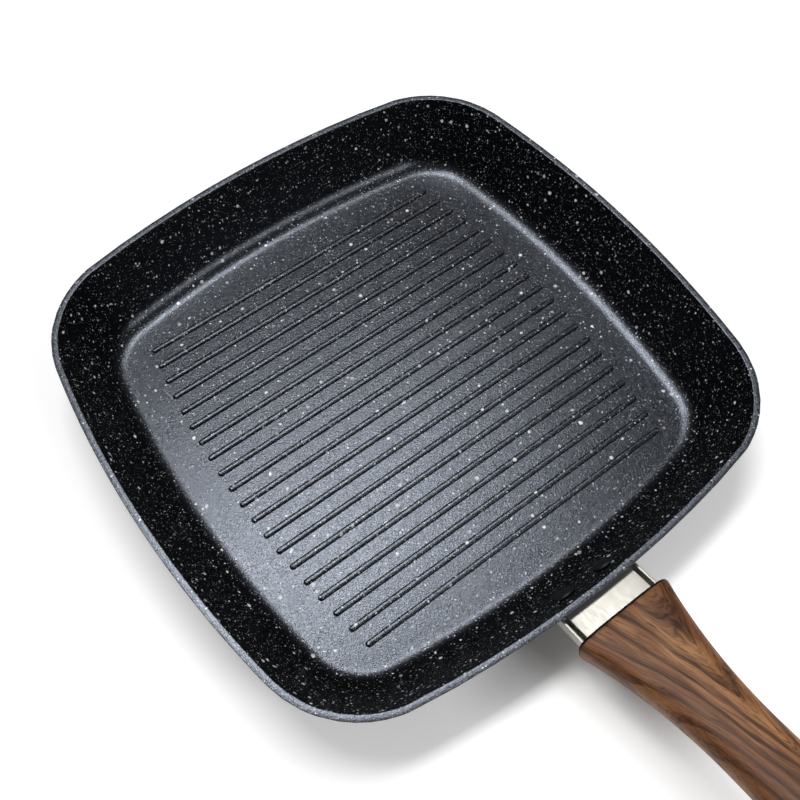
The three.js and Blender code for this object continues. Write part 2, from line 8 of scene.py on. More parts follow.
import bmesh
import bpy
import numpy as np
from bpy.props import FloatProperty, FloatVectorProperty, PointerProperty
from bpy.types import Operator, Panel, PropertyGroup
from mathutils import Euler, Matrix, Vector


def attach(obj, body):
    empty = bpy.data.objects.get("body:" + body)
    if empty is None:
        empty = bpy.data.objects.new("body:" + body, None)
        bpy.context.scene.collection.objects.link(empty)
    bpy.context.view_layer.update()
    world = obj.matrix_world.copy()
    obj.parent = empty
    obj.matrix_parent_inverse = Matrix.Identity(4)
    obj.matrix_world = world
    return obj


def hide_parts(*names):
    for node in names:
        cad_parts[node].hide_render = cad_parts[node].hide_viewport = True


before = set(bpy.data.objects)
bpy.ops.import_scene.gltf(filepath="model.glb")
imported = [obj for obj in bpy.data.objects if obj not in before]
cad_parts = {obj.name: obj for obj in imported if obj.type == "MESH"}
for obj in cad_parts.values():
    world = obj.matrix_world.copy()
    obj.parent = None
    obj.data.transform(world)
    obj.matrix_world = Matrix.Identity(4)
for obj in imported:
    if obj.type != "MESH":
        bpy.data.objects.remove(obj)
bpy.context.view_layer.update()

bl_info = {
    "name": "Grill Pan",
    "version": (1, 0, 0),
    "blender": (4, 5, 0),
    "location": "View3D > Sidebar > Grill Pan",
    "description": "Builds a coated square grill pan with a wood-effect grip",
    "category": "Add Mesh",
}

MM = 0.001
QUARTER = math.pi / 2
MERGE_DISTANCE = 0.002 * MM
# Edges that turn by more than this many degrees stay sharp
SHARP_TURN = 40


def length(name, millimetres, description):
    """A size in metres whose default is given in millimetres."""
    return FloatProperty(
        name=name, description=description, default=millimetres * MM, unit="LENGTH", precision=4
    )


def angle(name, degrees, description):
    """An angle in radians whose default is given in degrees."""
    return FloatProperty(
        name=name, description=description, default=math.radians(degrees), subtype="ANGLE"
    )


def ratio(name, value, description):
    """A plain number."""
    return FloatProperty(name=name, description=description, default=value)


def linear(hex_colour):
    """sRGB hex to linear red, green and blue: the sRGB curve undone channel by channel."""
    channels = np.array([int(hex_colour[i:i + 2], 16) for i in (1, 3, 5)]) / 255
    low = channels / 12.92
    high = ((channels + 0.055) / 1.055) ** 2.4
    return tuple(np.where(channels <= 0.04045, low, high))


def colour(name, hex_colour, description):
    """A colour whose default is an sRGB hex value."""
    return FloatVectorProperty(
        name=name, description=description, default=linear(hex_colour), subtype="COLOR",
        size=3, min=0, max=1,
    )


class PanSizes(PropertyGroup):
    """Sizes of the cast body and of the plate in its base."""

    rim_width: length("Rim width", 280, "Across the rim at the middle of two sides")
    corner_radius: length("Corner radius", 53.5, "Radius of the rim's corners")
    bow_radius: length("Side bow radius", 525, "Radius of the rim's bowed sides")
    height: length("Height", 39.5, "From the hob to the top of the rim")
    rim_thickness: length("Rim thickness", 3.2, "Width of the rim's flat top")
    rim_round: length("Rim rounding", 0.45, "How far the rim's edges are rounded")
    floor_thickness: length("Floor thickness", 5, "From the hob to the cooking floor")
    floor_inset: length("Floor inset", 28, "From the rim's outside to the edge of the flat floor")
    fillet_radius: length("Floor fillet", 12, "Radius where the floor turns up into the wall")
    rib_pitch: length("Rib pitch", 9.8, "From rib to rib")
    rib_width: length("Rib width", 3, "Width of a rib at the floor")
    rib_height: length("Rib height", 1.4, "Height of a rib above the floor")
    rib_end_inset: length("Rib end inset", 43, "From the rim's outside to the ribs' round ends")
    rib_side_inset: length("Rib side inset", 44, "From the rim's outside to the outermost ribs")
    plate_diameter: length("Plate diameter", 190, "Diameter of the induction plate")
    plate_thickness: length("Plate thickness", 1.2, "Thickness of the induction plate")
    plate_hole: length("Plate hole", 8, "Diameter of the induction plate's holes")
    plate_edge: length("Plate edge", 8, "From the outermost holes to the plate's edge")
    seat_gap: length("Seat gap", 0.3, "Clearance between pieces that seat on each other")


class HandleSizes(PropertyGroup):
    """Sizes of the bracket, the flame guard, the rivets and the grip."""

    rise: angle("Rise", 14.5, "Angle of the handle above the hob")
    below_rim: length("Below rim", 5.3, "From the rim down to the arm's top face")
    bracket_width: length("Bracket width", 35.8, "Width of the flange and the arm")
    bracket_thickness: length("Bracket thickness", 2.5, "Thickness of the strip")
    bracket_bend: length("Bracket bend", 2.2, "Bend radius at the middle of the strip")
    bracket_edge: length("Bracket edge", 0.5, "Rounding of the strip's edges")
    flange_height: length("Flange height", 12.5, "Height of the flange on the wall")
    tongue_width: length("Tongue width", 18, "Width of the strip inside the grip")
    tongue_end: length("Tongue end", 39, "From the rim to the end of the tongue")
    tab_height: length("Tab height", 11.8, "Height of the tab that the screw pulls on")
    rivet_spacing: length("Rivet spacing", 22, "From rivet to rivet")
    rivet_shank: length("Rivet shank", 4.5, "Diameter of a rivet's shank")
    rivet_head: length("Rivet head", 10, "Diameter of a rivet's head inside the pan")
    rivet_edge: length("Rivet head edge", 0.5, "Height of the head's straight edge")
    rivet_dome: length("Rivet head dome", 1.1, "Height of the head's dome")
    rivet_upset: length("Rivet upset", 7, "Diameter of the upset end behind the flange")
    rivet_upset_height: length("Rivet upset height", 1.6, "Height of the upset end")
    rivet_gap: length("Rivet gap", 0.45, "Clearance under a rivet's two heads")
    guard_width: length("Guard width", 42, "Width of the flame guard")
    guard_height: length("Guard height", 8.7, "Height of the flame guard")
    guard_thickness: length("Guard thickness", 1.2, "Thickness of the flame guard's sheet")
    guard_bend: length("Guard bend", 3, "Outside radius of the flame guard's bends")
    guard_end: length("Guard end", 14.7, "From the rim to the end of the guard inside the grip")
    grip_start: length("Grip start", 12, "From the rim to the front of the grip")
    grip_length: length("Grip length", 184.6, "Length of the grip")
    flare_length: length("Flare length", 70, "From the front of the grip to its neck")
    widest_drop: length("Widest drop", 2.5, "From the arm's top face to the grip's widest line")
    tail_drop: length("Tail drop", 2, "How far the grip's widest line drops along its length")
    front_width: length("Front width", 50.2, "Width of the grip at its front")
    front_crown: length("Front crown", 8.5, "Height above the widest line at the front")
    front_belly: length("Front belly", 13, "Depth below the widest line at the front")
    neck_width: length("Neck width", 28, "Width of the grip at its neck")
    neck_crown: length("Neck crown", 7.5, "Height above the widest line at the neck")
    neck_belly: length("Neck belly", 12, "Depth below the widest line at the neck")
    tail_width: length("Tail width", 32, "Width of the grip at its tail")
    tail_crown: length("Tail crown", 8, "Height above the widest line at the tail")
    tail_belly: length("Tail belly", 10, "Depth below the widest line at the tail")
    front_squareness: ratio("Front squareness", 4.2, "Power of the crown's soft rectangle at the front")
    neck_squareness: ratio("Neck squareness", 2.7, "Power of the crown's soft rectangle at the neck")
    belly_squareness: ratio("Belly squareness", 2.4, "Power of the belly's soft rectangle")
    front_round: length("Front rounding", 3, "Rounding of the grip's front edge")
    tail_round: length("Tail rounding", 14.6, "Length of the grip's rounded tail")
    slot_length: length("Slot length", 22, "Length of the hanging slot")
    slot_width: length("Slot width", 10, "Width of the hanging slot")
    slot_to_tail: length("Slot to tail", 10, "From the hanging slot to the tail")
    slot_edge: length("Slot edge", 1.5, "Rounding of the hanging slot's edges")
    screw_drop: length("Screw drop", 6.8, "From the arm's top face down to the screw's axis")
    driver_bore: length("Driver bore", 11, "Diameter of the bore that the screw goes in by")
    driver_bore_start: length("Driver bore start", 48.3, "From the rim to the bore's inner end")


class Finishes(PropertyGroup):
    """Colours of the coating, the metals and the wood film."""

    coating: colour("Coating", "#050608", "Ground of the granite coating")
    # Painted sheen: pale grains on the rim's top, in place of a reflection that the lamps do not give
    rim_painted_sheen: colour("Rubbed coating", "#6c7079", "Granite coating on the rim's top")
    chip: colour("Chip", "#e8eaec", "Mineral chips in the granite coating")
    plain_coating: colour("Plain coating", "#1c2020", "Coating over the rivets' heads")
    satin_steel: colour("Satin steel", "#d8d5cd", "Bracket and flame guard")
    induction_steel: colour("Induction steel", "#a9a9a6", "Plate in the base")
    bare_aluminium: colour("Bare aluminium", "#b9bbbe", "Recess behind the plate's holes")
    zinc_steel: colour("Zinc-plated steel", "#b4b6ba", "Screw, nut and washers")
    wood_light: colour("Light wood", "#a87850", "Early wood of the walnut film")
    wood_middle: colour("Middle wood", "#7c5034", "Ground of the walnut film")
    wood_dark: colour("Dark wood", "#341b0c", "Late wood and pores of the walnut film")
    # Painted shade: this dark colour is laid along the grip's front edge, where shade falls between the
    # grip and the guard
    front_painted_shade: colour("Phenolic", "#120c0a", "Moulding under the walnut film")


class StageSizes(PropertyGroup):
    """Camera and lights."""

    camera_place: FloatVectorProperty(
        name="Camera place", description="Where the camera stands", subtype="XYZ",
        unit="LENGTH", default=(182.29 * MM, -134.9 * MM, 423.31 * MM),
    )
    camera_azimuth: angle("Camera azimuth", 53.472, "Turn of the camera about the vertical")
    camera_elevation: angle("Camera elevation", 62.138, "Camera's view below the horizon")
    camera_roll: angle("Camera roll", -0.271, "Turn of the camera about its view")
    lens: ratio("Lens", 42.9, "Focal length in millimetres on a 36 mm wide sensor")
    ambient: ratio("Ambient light", 0.28, "Strength of the even light from all round")
    ceiling: ratio("Ceiling", 0.15, "How bright the room overhead looks in a gloss")
    walls: ratio("Walls", 0.02, "How bright the room's walls look in a gloss")
    pan_glow: ratio("Pan glow", 0.30, "How much the paper glows beside the pan")
    # Painted light: the stronger glow beside the handle lightens the handle's shadow
    handle_painted_light: ratio("Handle glow", 0.50, "How much the paper glows beside the handle")
    overhead_power: ratio("Overhead power", 62.0, "Watts of the soft box over the pan")
    handle_power: ratio("Handle side power", 9.0, "Watts of the soft box on the handle's side")


# Mesh tools

def grid_quads(rows, columns, closed=False, start=0):
    """Quads between neighbouring rows and columns of points stored row by row.

    A closed grid joins its last column to its first.
    """
    index = np.arange(rows * columns).reshape(rows, columns) + start
    if closed:
        index = np.concatenate([index, index[:, :1]], axis=1)
    corners = [index[:-1, :-1], index[:-1, 1:], index[1:, 1:], index[1:, :-1]]
    return np.stack(corners, axis=-1).reshape(-1, 4)


def full_turn(count):
    """Angles once round, evenly spaced from zero."""
    return np.linspace(0, 2 * math.pi, count, endpoint=False)


def shade(mesh):
    """Smooth shading, broken at sharp edges."""
    mesh.shade_smooth()
    mesh.set_sharp_from_angle(angle=math.radians(SHARP_TURN))


def make_mesh(name, points, quads, face_materials=None, inset=None):
    """A mesh whose seams and poles are merged and whose faces point outwards.

    inset is kept at each point for the material.
    """
    mesh = bpy.data.meshes.new(name)
    mesh.from_pydata(points.reshape(-1, 3).tolist(), [], quads.tolist())
    if inset is not None:
        mesh.attributes.new("inset", "FLOAT", "POINT").data.foreach_set("value", inset)
    if face_materials is not None:
        mesh.polygons.foreach_set("material_index", face_materials)
    work = bmesh.new()
    work.from_mesh(mesh)
    bmesh.ops.remove_doubles(work, verts=work.verts, dist=MERGE_DISTANCE)
    bmesh.ops.recalc_face_normals(work, faces=work.faces)
    work.to_mesh(mesh)
    work.free()
    shade(mesh)
    return mesh


def make_object(name, data):
    """An object at the origin that holds a mesh, a lamp or a camera."""
    thing = bpy.data.objects.new(name, data)
    bpy.context.scene.collection.objects.link(thing)
    return thing


def make_piece(name, mesh, slot, nodes, *materials):
    """A piece of the pan that stands for the named solids and rides on the pan's one body."""
    piece = make_object(name, mesh)
    for material in materials:
        mesh.materials.append(material)
    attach(piece, "root")
    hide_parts(*nodes)
    return piece


def loft(rings):
    """Points and quads of a skin over rings of points, given as (ring, point, axis).

    A first or last ring drawn together to one point closes that end.
    """
    return rings, grid_quads(rings.shape[0], rings.shape[1], closed=True)


def capped(rings):
    """The rings with each end closed at the middle of its ring."""
    ends = np.repeat(rings[[0, -1]].mean(axis=1, keepdims=True), rings.shape[1], axis=1)
    return np.concatenate([ends[:1], rings, ends[1:]])


def cut_away(name, mesh, cutters):
    """The mesh less each cutter mesh, as a new mesh."""
    body = make_object(name, mesh)
    tools = [make_object(name + "_cutter", cutter) for cutter in cutters]
    for tool in tools:
        modifier = body.modifiers.new("cut", "BOOLEAN")
        modifier.operation = "DIFFERENCE"
        modifier.solver = "EXACT"
        modifier.object = tool
    depsgraph = bpy.context.evaluated_depsgraph_get()
    cut = bpy.data.meshes.new_from_object(body.evaluated_get(depsgraph))
    for thing in [body, *tools]:
        bpy.data.objects.remove(thing)
    shade(cut)
    return cut


def rounded_corner(start, corner, end, count):
    """Points from start to end that round off corner: a quadratic curve of two blended lines."""
    t = np.linspace(0, 1, count)[:, None]
    start, corner, end = (np.array(point) for point in (start, corner, end))
    return (1 - t) ** 2 * start + 2 * t * (1 - t) * corner + t ** 2 * end


# Pan outline and wall profile

# Points along the floor's inner and outer fillets, a rounded rim edge and a straight wall
INNER_FILLET_POINTS = 20
OUTER_FILLET_POINTS = 16
RIM_EDGE_POINTS = 6
WALL_POINTS = 5


def outline_arcs(pan):
    """Reach of a side's arc centre, reach of a corner's arc centre, and half a side's angle.

    A side's arc and a corner's arc touch, so the two centres lie apart by the difference of
    the radii, and the corner's centre lies on the diagonal.
    """
    bow_centre = pan.bow_radius - pan.rim_width / 2
    apart = pan.bow_radius - pan.corner_radius
    corner_centre = (math.sqrt(2 * apart ** 2 - bow_centre ** 2) - bow_centre) / 2
    return bow_centre, corner_centre, math.atan2(corner_centre, corner_centre + bow_centre)


def outline_point(pan, turn, inset):
    """Points of the rim's outline moved in by inset, where its normal points along turn.

    The outline is four wide arcs joined by four corner arcs. An inset keeps each arc's centre
    and shortens its radius.
    """
    bow_centre, corner_centre, side_half = outline_arcs(pan)
    side = np.round(turn / QUARTER) * QUARTER
    local = turn - side
    on_side = np.abs(local) <= side_half
    along = np.where(on_side, -bow_centre, corner_centre)
    across = np.where(on_side, 0, np.sign(local) * corner_centre)
    radius = np.where(on_side, pan.bow_radius, pan.corner_radius) - inset
    x = along * np.cos(side) - across * np.sin(side) + radius * np.cos(turn)
    y = along * np.sin(side) + across * np.cos(side) + radius * np.sin(turn)
    return x, y


def side_turn(pan, across, inset):
    """Turn of the outline's normal from a side's middle, at a distance across from it.

    On the side's arc and on the corner's arc it is the arc sine of the distance from the
    arc's centre over the arc's radius.
    """
    _, corner_centre, side_half = outline_arcs(pan)
    bow = pan.bow_radius - inset
    corner = pan.corner_radius - inset
    on_side = np.abs(across) <= bow * math.sin(side_half)
    past = np.sign(across) * (np.abs(across) - corner_centre)
    share = np.where(on_side, across / bow, past / corner)
    return np.arcsin(np.clip(share, -1, 1))


def wall_lean(pan, rim_inset, radius):
    """Lean from the vertical of a wall line that leaves the rim and touches the floor fillet."""
    across = pan.floor_inset - rim_inset
    down = pan.height - pan.floor_thickness - pan.fillet_radius
    return math.atan2(across, down) - math.asin(radius / math.hypot(across, down))


def wall_fillet(pan, radius, lean, count):
    """Inset and height of points round the floor fillet, from the floor to the wall line."""
    turn = np.linspace(0, QUARTER - lean, count)
    centre = pan.floor_thickness + pan.fillet_radius
    inset = pan.floor_inset - radius * np.sin(turn)
    return np.stack([inset, centre - radius * np.cos(turn)], axis=1)


def outer_lean(pan):
    """Lean of the wall's outside."""
    return wall_lean(pan, 0, pan.floor_thickness + pan.fillet_radius)


def inner_lean(pan):
    """Lean of the wall's inside."""
    return wall_lean(pan, pan.rim_thickness, pan.fillet_radius)


def wall_profile(pan):
    """Inset and height pairs from the floor's edge up the inside, over the rim and down to the base.

    Inside and outside are lines that run tangent into fillets about one centre, and the
    rim's two edges are rounded.
    """
    outer_radius = pan.floor_thickness + pan.fillet_radius
    inner = wall_fillet(pan, pan.fillet_radius, inner_lean(pan), INNER_FILLET_POINTS)
    outer = wall_fillet(pan, outer_radius, outer_lean(pan), OUTER_FILLET_POINTS)
    soft = pan.rim_round
    thickness = pan.rim_thickness
    top = pan.height
    inside_low = (thickness + soft * math.tan(inner_lean(pan)), top - soft)
    outside_low = (soft * math.tan(outer_lean(pan)), top - soft)
    rim_inside = rounded_corner(inside_low, (thickness, top), (thickness - soft, top), RIM_EDGE_POINTS)
    rim_outside = rounded_corner((soft, top), (0, top), outside_low, RIM_EDGE_POINTS)
    inner_wall = np.linspace(inner[-1], inside_low, WALL_POINTS)[1:-1]
    outer_wall = np.linspace(outside_low, outer[-1], WALL_POINTS)[1:-1]
    return np.concatenate([inner, inner_wall, rim_inside, rim_outside, outer_wall, outer[::-1]])


# Pan floor

def rib_spines(pan):
    """X of each rib's middle line, evenly spaced about the pan's middle."""
    reach = pan.rim_width / 2 - pan.rib_side_inset
    count = int(2 * reach / pan.rib_pitch) + 1
    return (np.arange(count) - (count - 1) / 2) * pan.rib_pitch


def rib_half_length(pan, x):
    """Half of a rib's length: the rim's bowed side moved in to the ribs' ends."""
    bow_centre = outline_arcs(pan)[0]
    return np.sqrt((pan.bow_radius - pan.rib_end_inset) ** 2 - x ** 2) - bow_centre


def nearest_spine(pan, x):
    """X of the rib nearest to each x."""
    spines = rib_spines(pan)
    return spines[np.abs(x[..., None] - spines).argmin(-1)]


# Powers of a rib's soft half ellipse, across it and up it
RIB_CROWN_POWER = 4.2
RIB_FOOT_POWER = 2.0


def rib_rise(pan, x, y):
    """Height above the floor of the rounded ribs.

    The distance from the nearest rib's middle line, over the rib's half width, is taken round
    a soft half ellipse, so crown and round ends come from one formula.
    """
    half = pan.rib_width / 2
    spine = nearest_spine(pan, x)
    past_end = np.maximum(np.abs(y) - (rib_half_length(pan, spine) - half), 0)
    share = np.clip(np.hypot(x - spine, past_end) / half, 0, 1)
    return pan.rib_height * (1 - share ** RIB_CROWN_POWER) ** (1 / RIB_FOOT_POWER)


# Columns across half a rib, as shares of its half width, and rows round its end
RIB_COLUMNS = np.array([0, 0.3, 0.55, 0.74, 0.87, 0.95, 0.99, 1.0, 1.03])
RIB_END_ROWS = np.linspace(-1.1, 0.08, 20)
# Rows along half a rib and from its end to the floor's edge, and columns past the floor's corners
RIB_ROWS = 6
EDGE_ROWS = 5
SIDE_COLUMNS = 3


def floor_columns(pan, corner):
    """X of the floor's columns: close together over each rib, one between ribs."""
    spines = rib_spines(pan)
    offsets = np.concatenate([-RIB_COLUMNS[:0:-1], RIB_COLUMNS]) * pan.rib_width / 2
    over_ribs = (spines[:, None] + offsets).ravel()
    between = (spines[:-1] + spines[1:]) / 2
    return np.unique(np.concatenate([over_ribs, between, [-corner, corner]]))


def floor_rows(pan, x, edge):
    """Y of the floor's rows for each column: sparse along the ribs, close at their ends."""
    half = pan.rib_width / 2
    tip = rib_half_length(pan, nearest_spine(pan, x))
    middle = np.linspace(0, 1, RIB_ROWS)[:, None] * (tip + RIB_END_ROWS[0] * half)
    ends = tip + RIB_END_ROWS[1:, None] * half
    rim_side = ends[-1] + np.linspace(0, 1, EDGE_ROWS)[1:, None] * (edge - ends[-1])
    upper = np.concatenate([middle, ends, rim_side])
    return np.concatenate([-upper[:0:-1], upper])


def floor_surface(pan):
    """The flat floor with its ribs, as X, Y and Z grids, and the turns round its edge.

    Columns run straight along the ribs between two corners of the floor. On the two sides
    past the corners, a few more columns blend from the last one to the bowed edge.
    """
    inset = pan.floor_inset
    corner = outline_point(pan, np.array(QUARTER / 2), inset)[0]
    column = floor_columns(pan, float(corner))
    column_turn = side_turn(pan, column, inset)
    edge = outline_point(pan, QUARTER - column_turn, inset)[1]
    y = floor_rows(pan, column, edge)
    x = np.broadcast_to(column, y.shape)
    row_turn = side_turn(pan, y[:, -1], inset)
    side = outline_point(pan, row_turn, inset)[0]
    blend = np.arange(1, SIDE_COLUMNS + 1) / SIDE_COLUMNS
    cap_x = corner + blend * (side[:, None] - corner)
    cap_y = np.repeat(y[:, -1:], len(blend), axis=1)
    x = np.concatenate([-cap_x[:, ::-1], x, cap_x], axis=1)
    y = np.concatenate([cap_y[:, ::-1], y, cap_y], axis=1)
    z = pan.floor_thickness + rib_rise(pan, x, y)
    turns = np.concatenate([
        -QUARTER + column_turn,
        row_turn[1:-1],
        QUARTER - column_turn[::-1],
        2 * QUARTER - row_turn[::-1][1:-1],
    ])
    return x, y, z, turns


def pan_mesh(pan):
    """Floor grid, then the wall's profile carried round the floor's edge, then the base.

    The base runs in from the square outline to the round recess of the induction plate, whose
    faces show bare metal.
    """
    x, y, z, turns = floor_surface(pan)
    floor = np.stack([x, y, z], axis=-1)
    profile = wall_profile(pan)
    ring_x, ring_y = outline_point(pan, turns, profile[:, :1])
    ring_z = np.broadcast_to(profile[:, 1:], ring_x.shape)
    rings = np.stack([ring_x, ring_y, ring_z], axis=-1)
    around = np.arctan2(ring_y[-1], ring_x[-1])
    recess = pan.plate_diameter / 2 + pan.seat_gap
    depth = pan.plate_thickness + pan.seat_gap
    base = np.array([[recess + pan.rim_round, 0], [recess, pan.rim_round], [recess, depth], [0, depth]])
    base_rings = np.stack([
        base[:, :1] * np.cos(around),
        base[:, :1] * np.sin(around),
        np.broadcast_to(base[:, 1:], (len(base), len(around))),
    ], axis=-1)
    rings = np.concatenate([rings, base_rings])
    wall_quads = grid_quads(rings.shape[0], rings.shape[1], closed=True, start=x.size)
    floor_quads = grid_quads(*x.shape)
    bare = np.zeros(len(floor_quads) + len(wall_quads), dtype=int)
    bare[-2 * len(turns):] = 1
    points = np.concatenate([floor.reshape(-1, 3), rings.reshape(-1, 3)])
    inset = np.full(len(points), pan.floor_inset)
    inset[x.size:x.size + ring_x.size] = np.repeat(profile[:, 0], len(turns))
    return make_mesh("pan_body", points, np.concatenate([floor_quads, wall_quads]), bare, inset)


# Round pieces

# Sides of the plate and of its holes, points along its rounded rims, and their rounding
PLATE_SIDES = 128
HOLE_SIDES = 32
PLATE_RIM_POINTS = 4
PLATE_RIM_ROUND = 0.3 * MM
# Rings of holes in the plate, and how many more holes each ring has than the one inside it
HOLE_RINGS = 3
HOLES_ADDED = 6


def turned_mesh(name, profile, sides, axis_point, axis):
    """A profile of radius and height pairs carried round an axis."""
    turn = full_turn(sides)
    profile = np.array(profile)
    up = Vector(axis).normalized()
    first = np.array(up.orthogonal().normalized())
    second = np.cross(np.array(up), first)
    spoke = np.cos(turn)[:, None] * first + np.sin(turn)[:, None] * second
    rings = (
        np.array(axis_point)
        + profile[:, :1, None] * spoke
        + profile[:, 1:, None] * np.array(up)
    )
    return make_mesh(name, *loft(rings))


def plate_profile(pan):
    """Radius and height pairs of the plate from its middle below to its middle above."""
    radius = pan.plate_diameter / 2
    high = pan.plate_thickness
    inner = radius - PLATE_RIM_ROUND
    return np.concatenate([
        [(0, 0)],
        rounded_corner((inner, 0), (radius, 0), (radius, PLATE_RIM_ROUND), PLATE_RIM_POINTS),
        rounded_corner((radius, high - PLATE_RIM_ROUND), (radius, high), (inner, high), PLATE_RIM_POINTS),
        [(0, high)],
    ])


def plate_hole_places(pan):
    """Centres of the plate's holes, on rings that hold more of them the wider they are."""
    outer = pan.plate_diameter / 2 - pan.plate_edge - pan.plate_hole / 2
    places = []
    for ring in range(1, HOLE_RINGS + 1):
        turn = full_turn(HOLES_ADDED * ring)
        radius = outer * ring / HOLE_RINGS
        places.append(np.stack([radius * np.cos(turn), radius * np.sin(turn)], axis=1))
    return np.concatenate(places)


def plate_mesh(pan):
    """The induction plate: a disc with rounded rims, less a drill for each hole."""
    disc = turned_mesh("induction_plate", plate_profile(pan), PLATE_SIDES, (0, 0, 0), (0, 0, 1))
    turn = full_turn(HOLE_SIDES)
    reach = pan.plate_hole / 2
    drill = np.array([(0, -1), (1, -1), (1, 1), (0, 1)])
    ring = np.stack([np.cos(turn), np.sin(turn)], axis=1)
    places = plate_hole_places(pan)
    flat = places[:, None, None] + drill[:, :1, None] * reach * ring
    height = np.broadcast_to(drill[:, 1:, None] * 2 * pan.plate_thickness, (*flat.shape[:-1], 1))
    drills = np.concatenate([flat, height], axis=-1)
    quads = grid_quads(len(drill), len(turn), closed=True)
    starts = np.arange(len(places)) * len(drill) * len(turn)
    cutter = make_mesh("drills", drills, (quads + starts[:, None, None]).reshape(-1, 4))
    return cut_away("induction_plate", disc, [cutter])


# Handle

# Points round the rivets, the strip's section, the grip, the hanging slot and the bore
RIVET_SIDES = 48
STRIP_SIDES = 24
GRIP_SIDES = 112
SLOT_SIDES = 64
BORE_SIDES = 40
# Points along a rivet's dome and upset edge, and along the strip's bend
DOME_POINTS = 12
UPSET_POINTS = 6
STRIP_BEND_POINTS = 12
# Points along the guard's bend, its cheek and its length
GUARD_BEND_POINTS = 8
CHEEK_POINTS = 4
GUARD_POINTS = 5
# Points along the grip's front edge, body and tail, and along the slot's edge
FRONT_POINTS = 8
BODY_POINTS = 70
TAIL_POINTS = 18
SLOT_EDGE_POINTS = 8
# Rounding of the guard's sheet edges
GUARD_EDGE = 0.25 * MM
# Length in which the strip steps down to its tongue
STEP_LENGTH = 0.05 * MM
# Rounds in which the guard's lines settle at their clearance from the wall
FIT_ROUNDS = 6
# Power of the soft rectangle of the recess in the grip's front
RECESS_SQUARENESS = 12


def handle_point(pan, handle, along, across, up):
    """From the handle's own directions to the pan's: along it, across it and square to its arm."""
    rise_cos = math.cos(handle.rise)
    rise_sin = math.sin(handle.rise)
    x = pan.rim_width / 2 + along * rise_cos - up * rise_sin
    z = pan.height - handle.below_rim + along * rise_sin + up * rise_cos
    return np.stack(np.broadcast_arrays(x, across, z), axis=-1)


def outside_wall(pan, y, z):
    """X of the wall's outside on the handle's side, at a place across it and a height."""
    inset = (pan.height - z) * math.tan(outer_lean(pan))
    return np.sqrt((pan.bow_radius - inset) ** 2 - y ** 2) - outline_arcs(pan)[0]


def rivet_mesh(pan, handle, name, side):
    """Domed head inside the pan, shank through the wall and upset head behind the flange."""
    height = pan.height - handle.below_rim - (handle.bracket_thickness + handle.flange_height) / 2
    lean = (inner_lean(pan) + outer_lean(pan)) / 2
    inner = pan.rim_thickness + (pan.height - height) * math.tan(inner_lean(pan))
    outer = (pan.height - height) * math.tan(outer_lean(pan))
    seat = (inner - outer) * math.cos(lean) + handle.rivet_gap
    back = -(pan.seat_gap + handle.bracket_thickness + handle.rivet_gap)
    end = back - handle.rivet_upset_height
    upset = handle.rivet_upset / 2
    shank = handle.rivet_shank / 2
    turn = np.linspace(0, QUARTER, DOME_POINTS)[:, None]
    dome = np.concatenate([
        handle.rivet_head / 2 * np.cos(turn),
        seat + handle.rivet_edge + handle.rivet_dome * np.sin(turn),
    ], axis=1)
    edge = handle.rivet_upset_height / 2
    profile = np.concatenate([
        [(0, end)],
        rounded_corner((upset - edge, end), (upset, end), (upset, back), UPSET_POINTS),
        [(shank, back), (shank, seat), (handle.rivet_head / 2, seat)],
        dome,
    ])
    y = side * handle.rivet_spacing / 2
    place = (float(outside_wall(pan, y, height)), y, height)
    return turned_mesh(name, profile, RIVET_SIDES, place, (-math.cos(lean), 0, math.sin(lean)))


def strip_path(pan, handle):
    """Middle line of the bracket's strip, in the handle's own along and up directions.

    It runs up the wall's outside, round a bend, out along the arm and down the screw's tab.
    """
    half = handle.bracket_thickness / 2
    lean = outer_lean(pan) + handle.rise
    wall = np.array([math.sin(lean), math.cos(lean)])
    out = np.array([math.cos(lean), -math.sin(lean)])
    rim_up = handle.below_rim
    rim = np.array([rim_up * math.sin(handle.rise), rim_up * math.cos(handle.rise)])
    foot_line = rim + out * (pan.seat_gap + half)
    corner = foot_line - wall * (foot_line[1] + half) / wall[1]
    foot = corner - wall * (handle.flange_height - half) / math.cos(lean)
    setback = handle.bracket_bend * math.tan((QUARTER - lean) / 2)
    arm_start = corner + np.array([setback, 0])
    bend = rounded_corner(corner - wall * setback, corner, arm_start, STRIP_BEND_POINTS)
    tab_x = handle.tongue_end - half
    tab = np.array([[tab_x - half, -half], [tab_x, -2 * half], [tab_x, -handle.tab_height]])
    wide_end = np.array([[handle.guard_end, -half], [handle.guard_end + STEP_LENGTH, -half]])
    return np.concatenate([[foot], bend, wide_end, tab])


def bracket_mesh(pan, handle):
    """A strip's round-edged section carried along the bracket's bent middle line.

    The section lies across the handle. Its width steps down where the strip enters the grip,
    and the flange follows the wall's bow.
    """
    path = strip_path(pan, handle)
    ahead = np.gradient(path, axis=0)
    ahead /= np.linalg.norm(ahead, axis=1, keepdims=True)
    normal = np.stack([-ahead[:, 1], ahead[:, 0]], axis=1)
    wide = path[:, 0] < handle.guard_end + STEP_LENGTH / 2
    half_width = np.where(wide, handle.bracket_width, handle.tongue_width) / 2
    half = handle.bracket_thickness / 2
    turn = full_turn(STRIP_SIDES)
    edge = handle.bracket_edge
    across = np.sign(np.cos(turn)) * (half_width[:, None] - edge) + edge * np.cos(turn)
    up = np.sign(np.sin(turn)) * (half - edge) + edge * np.sin(turn)
    along = path[:, :1] + normal[:, :1] * up
    height = path[:, 1:] + normal[:, 1:] * up
    sag = across ** 2 / (2 * pan.bow_radius)
    on_wall = np.clip(1 - path[:, :1] / handle.grip_start, 0, 1)
    rings = handle_point(pan, handle, along - sag * on_wall, across, height)
    return make_mesh("handle_bracket", *loft(capped(rings)))


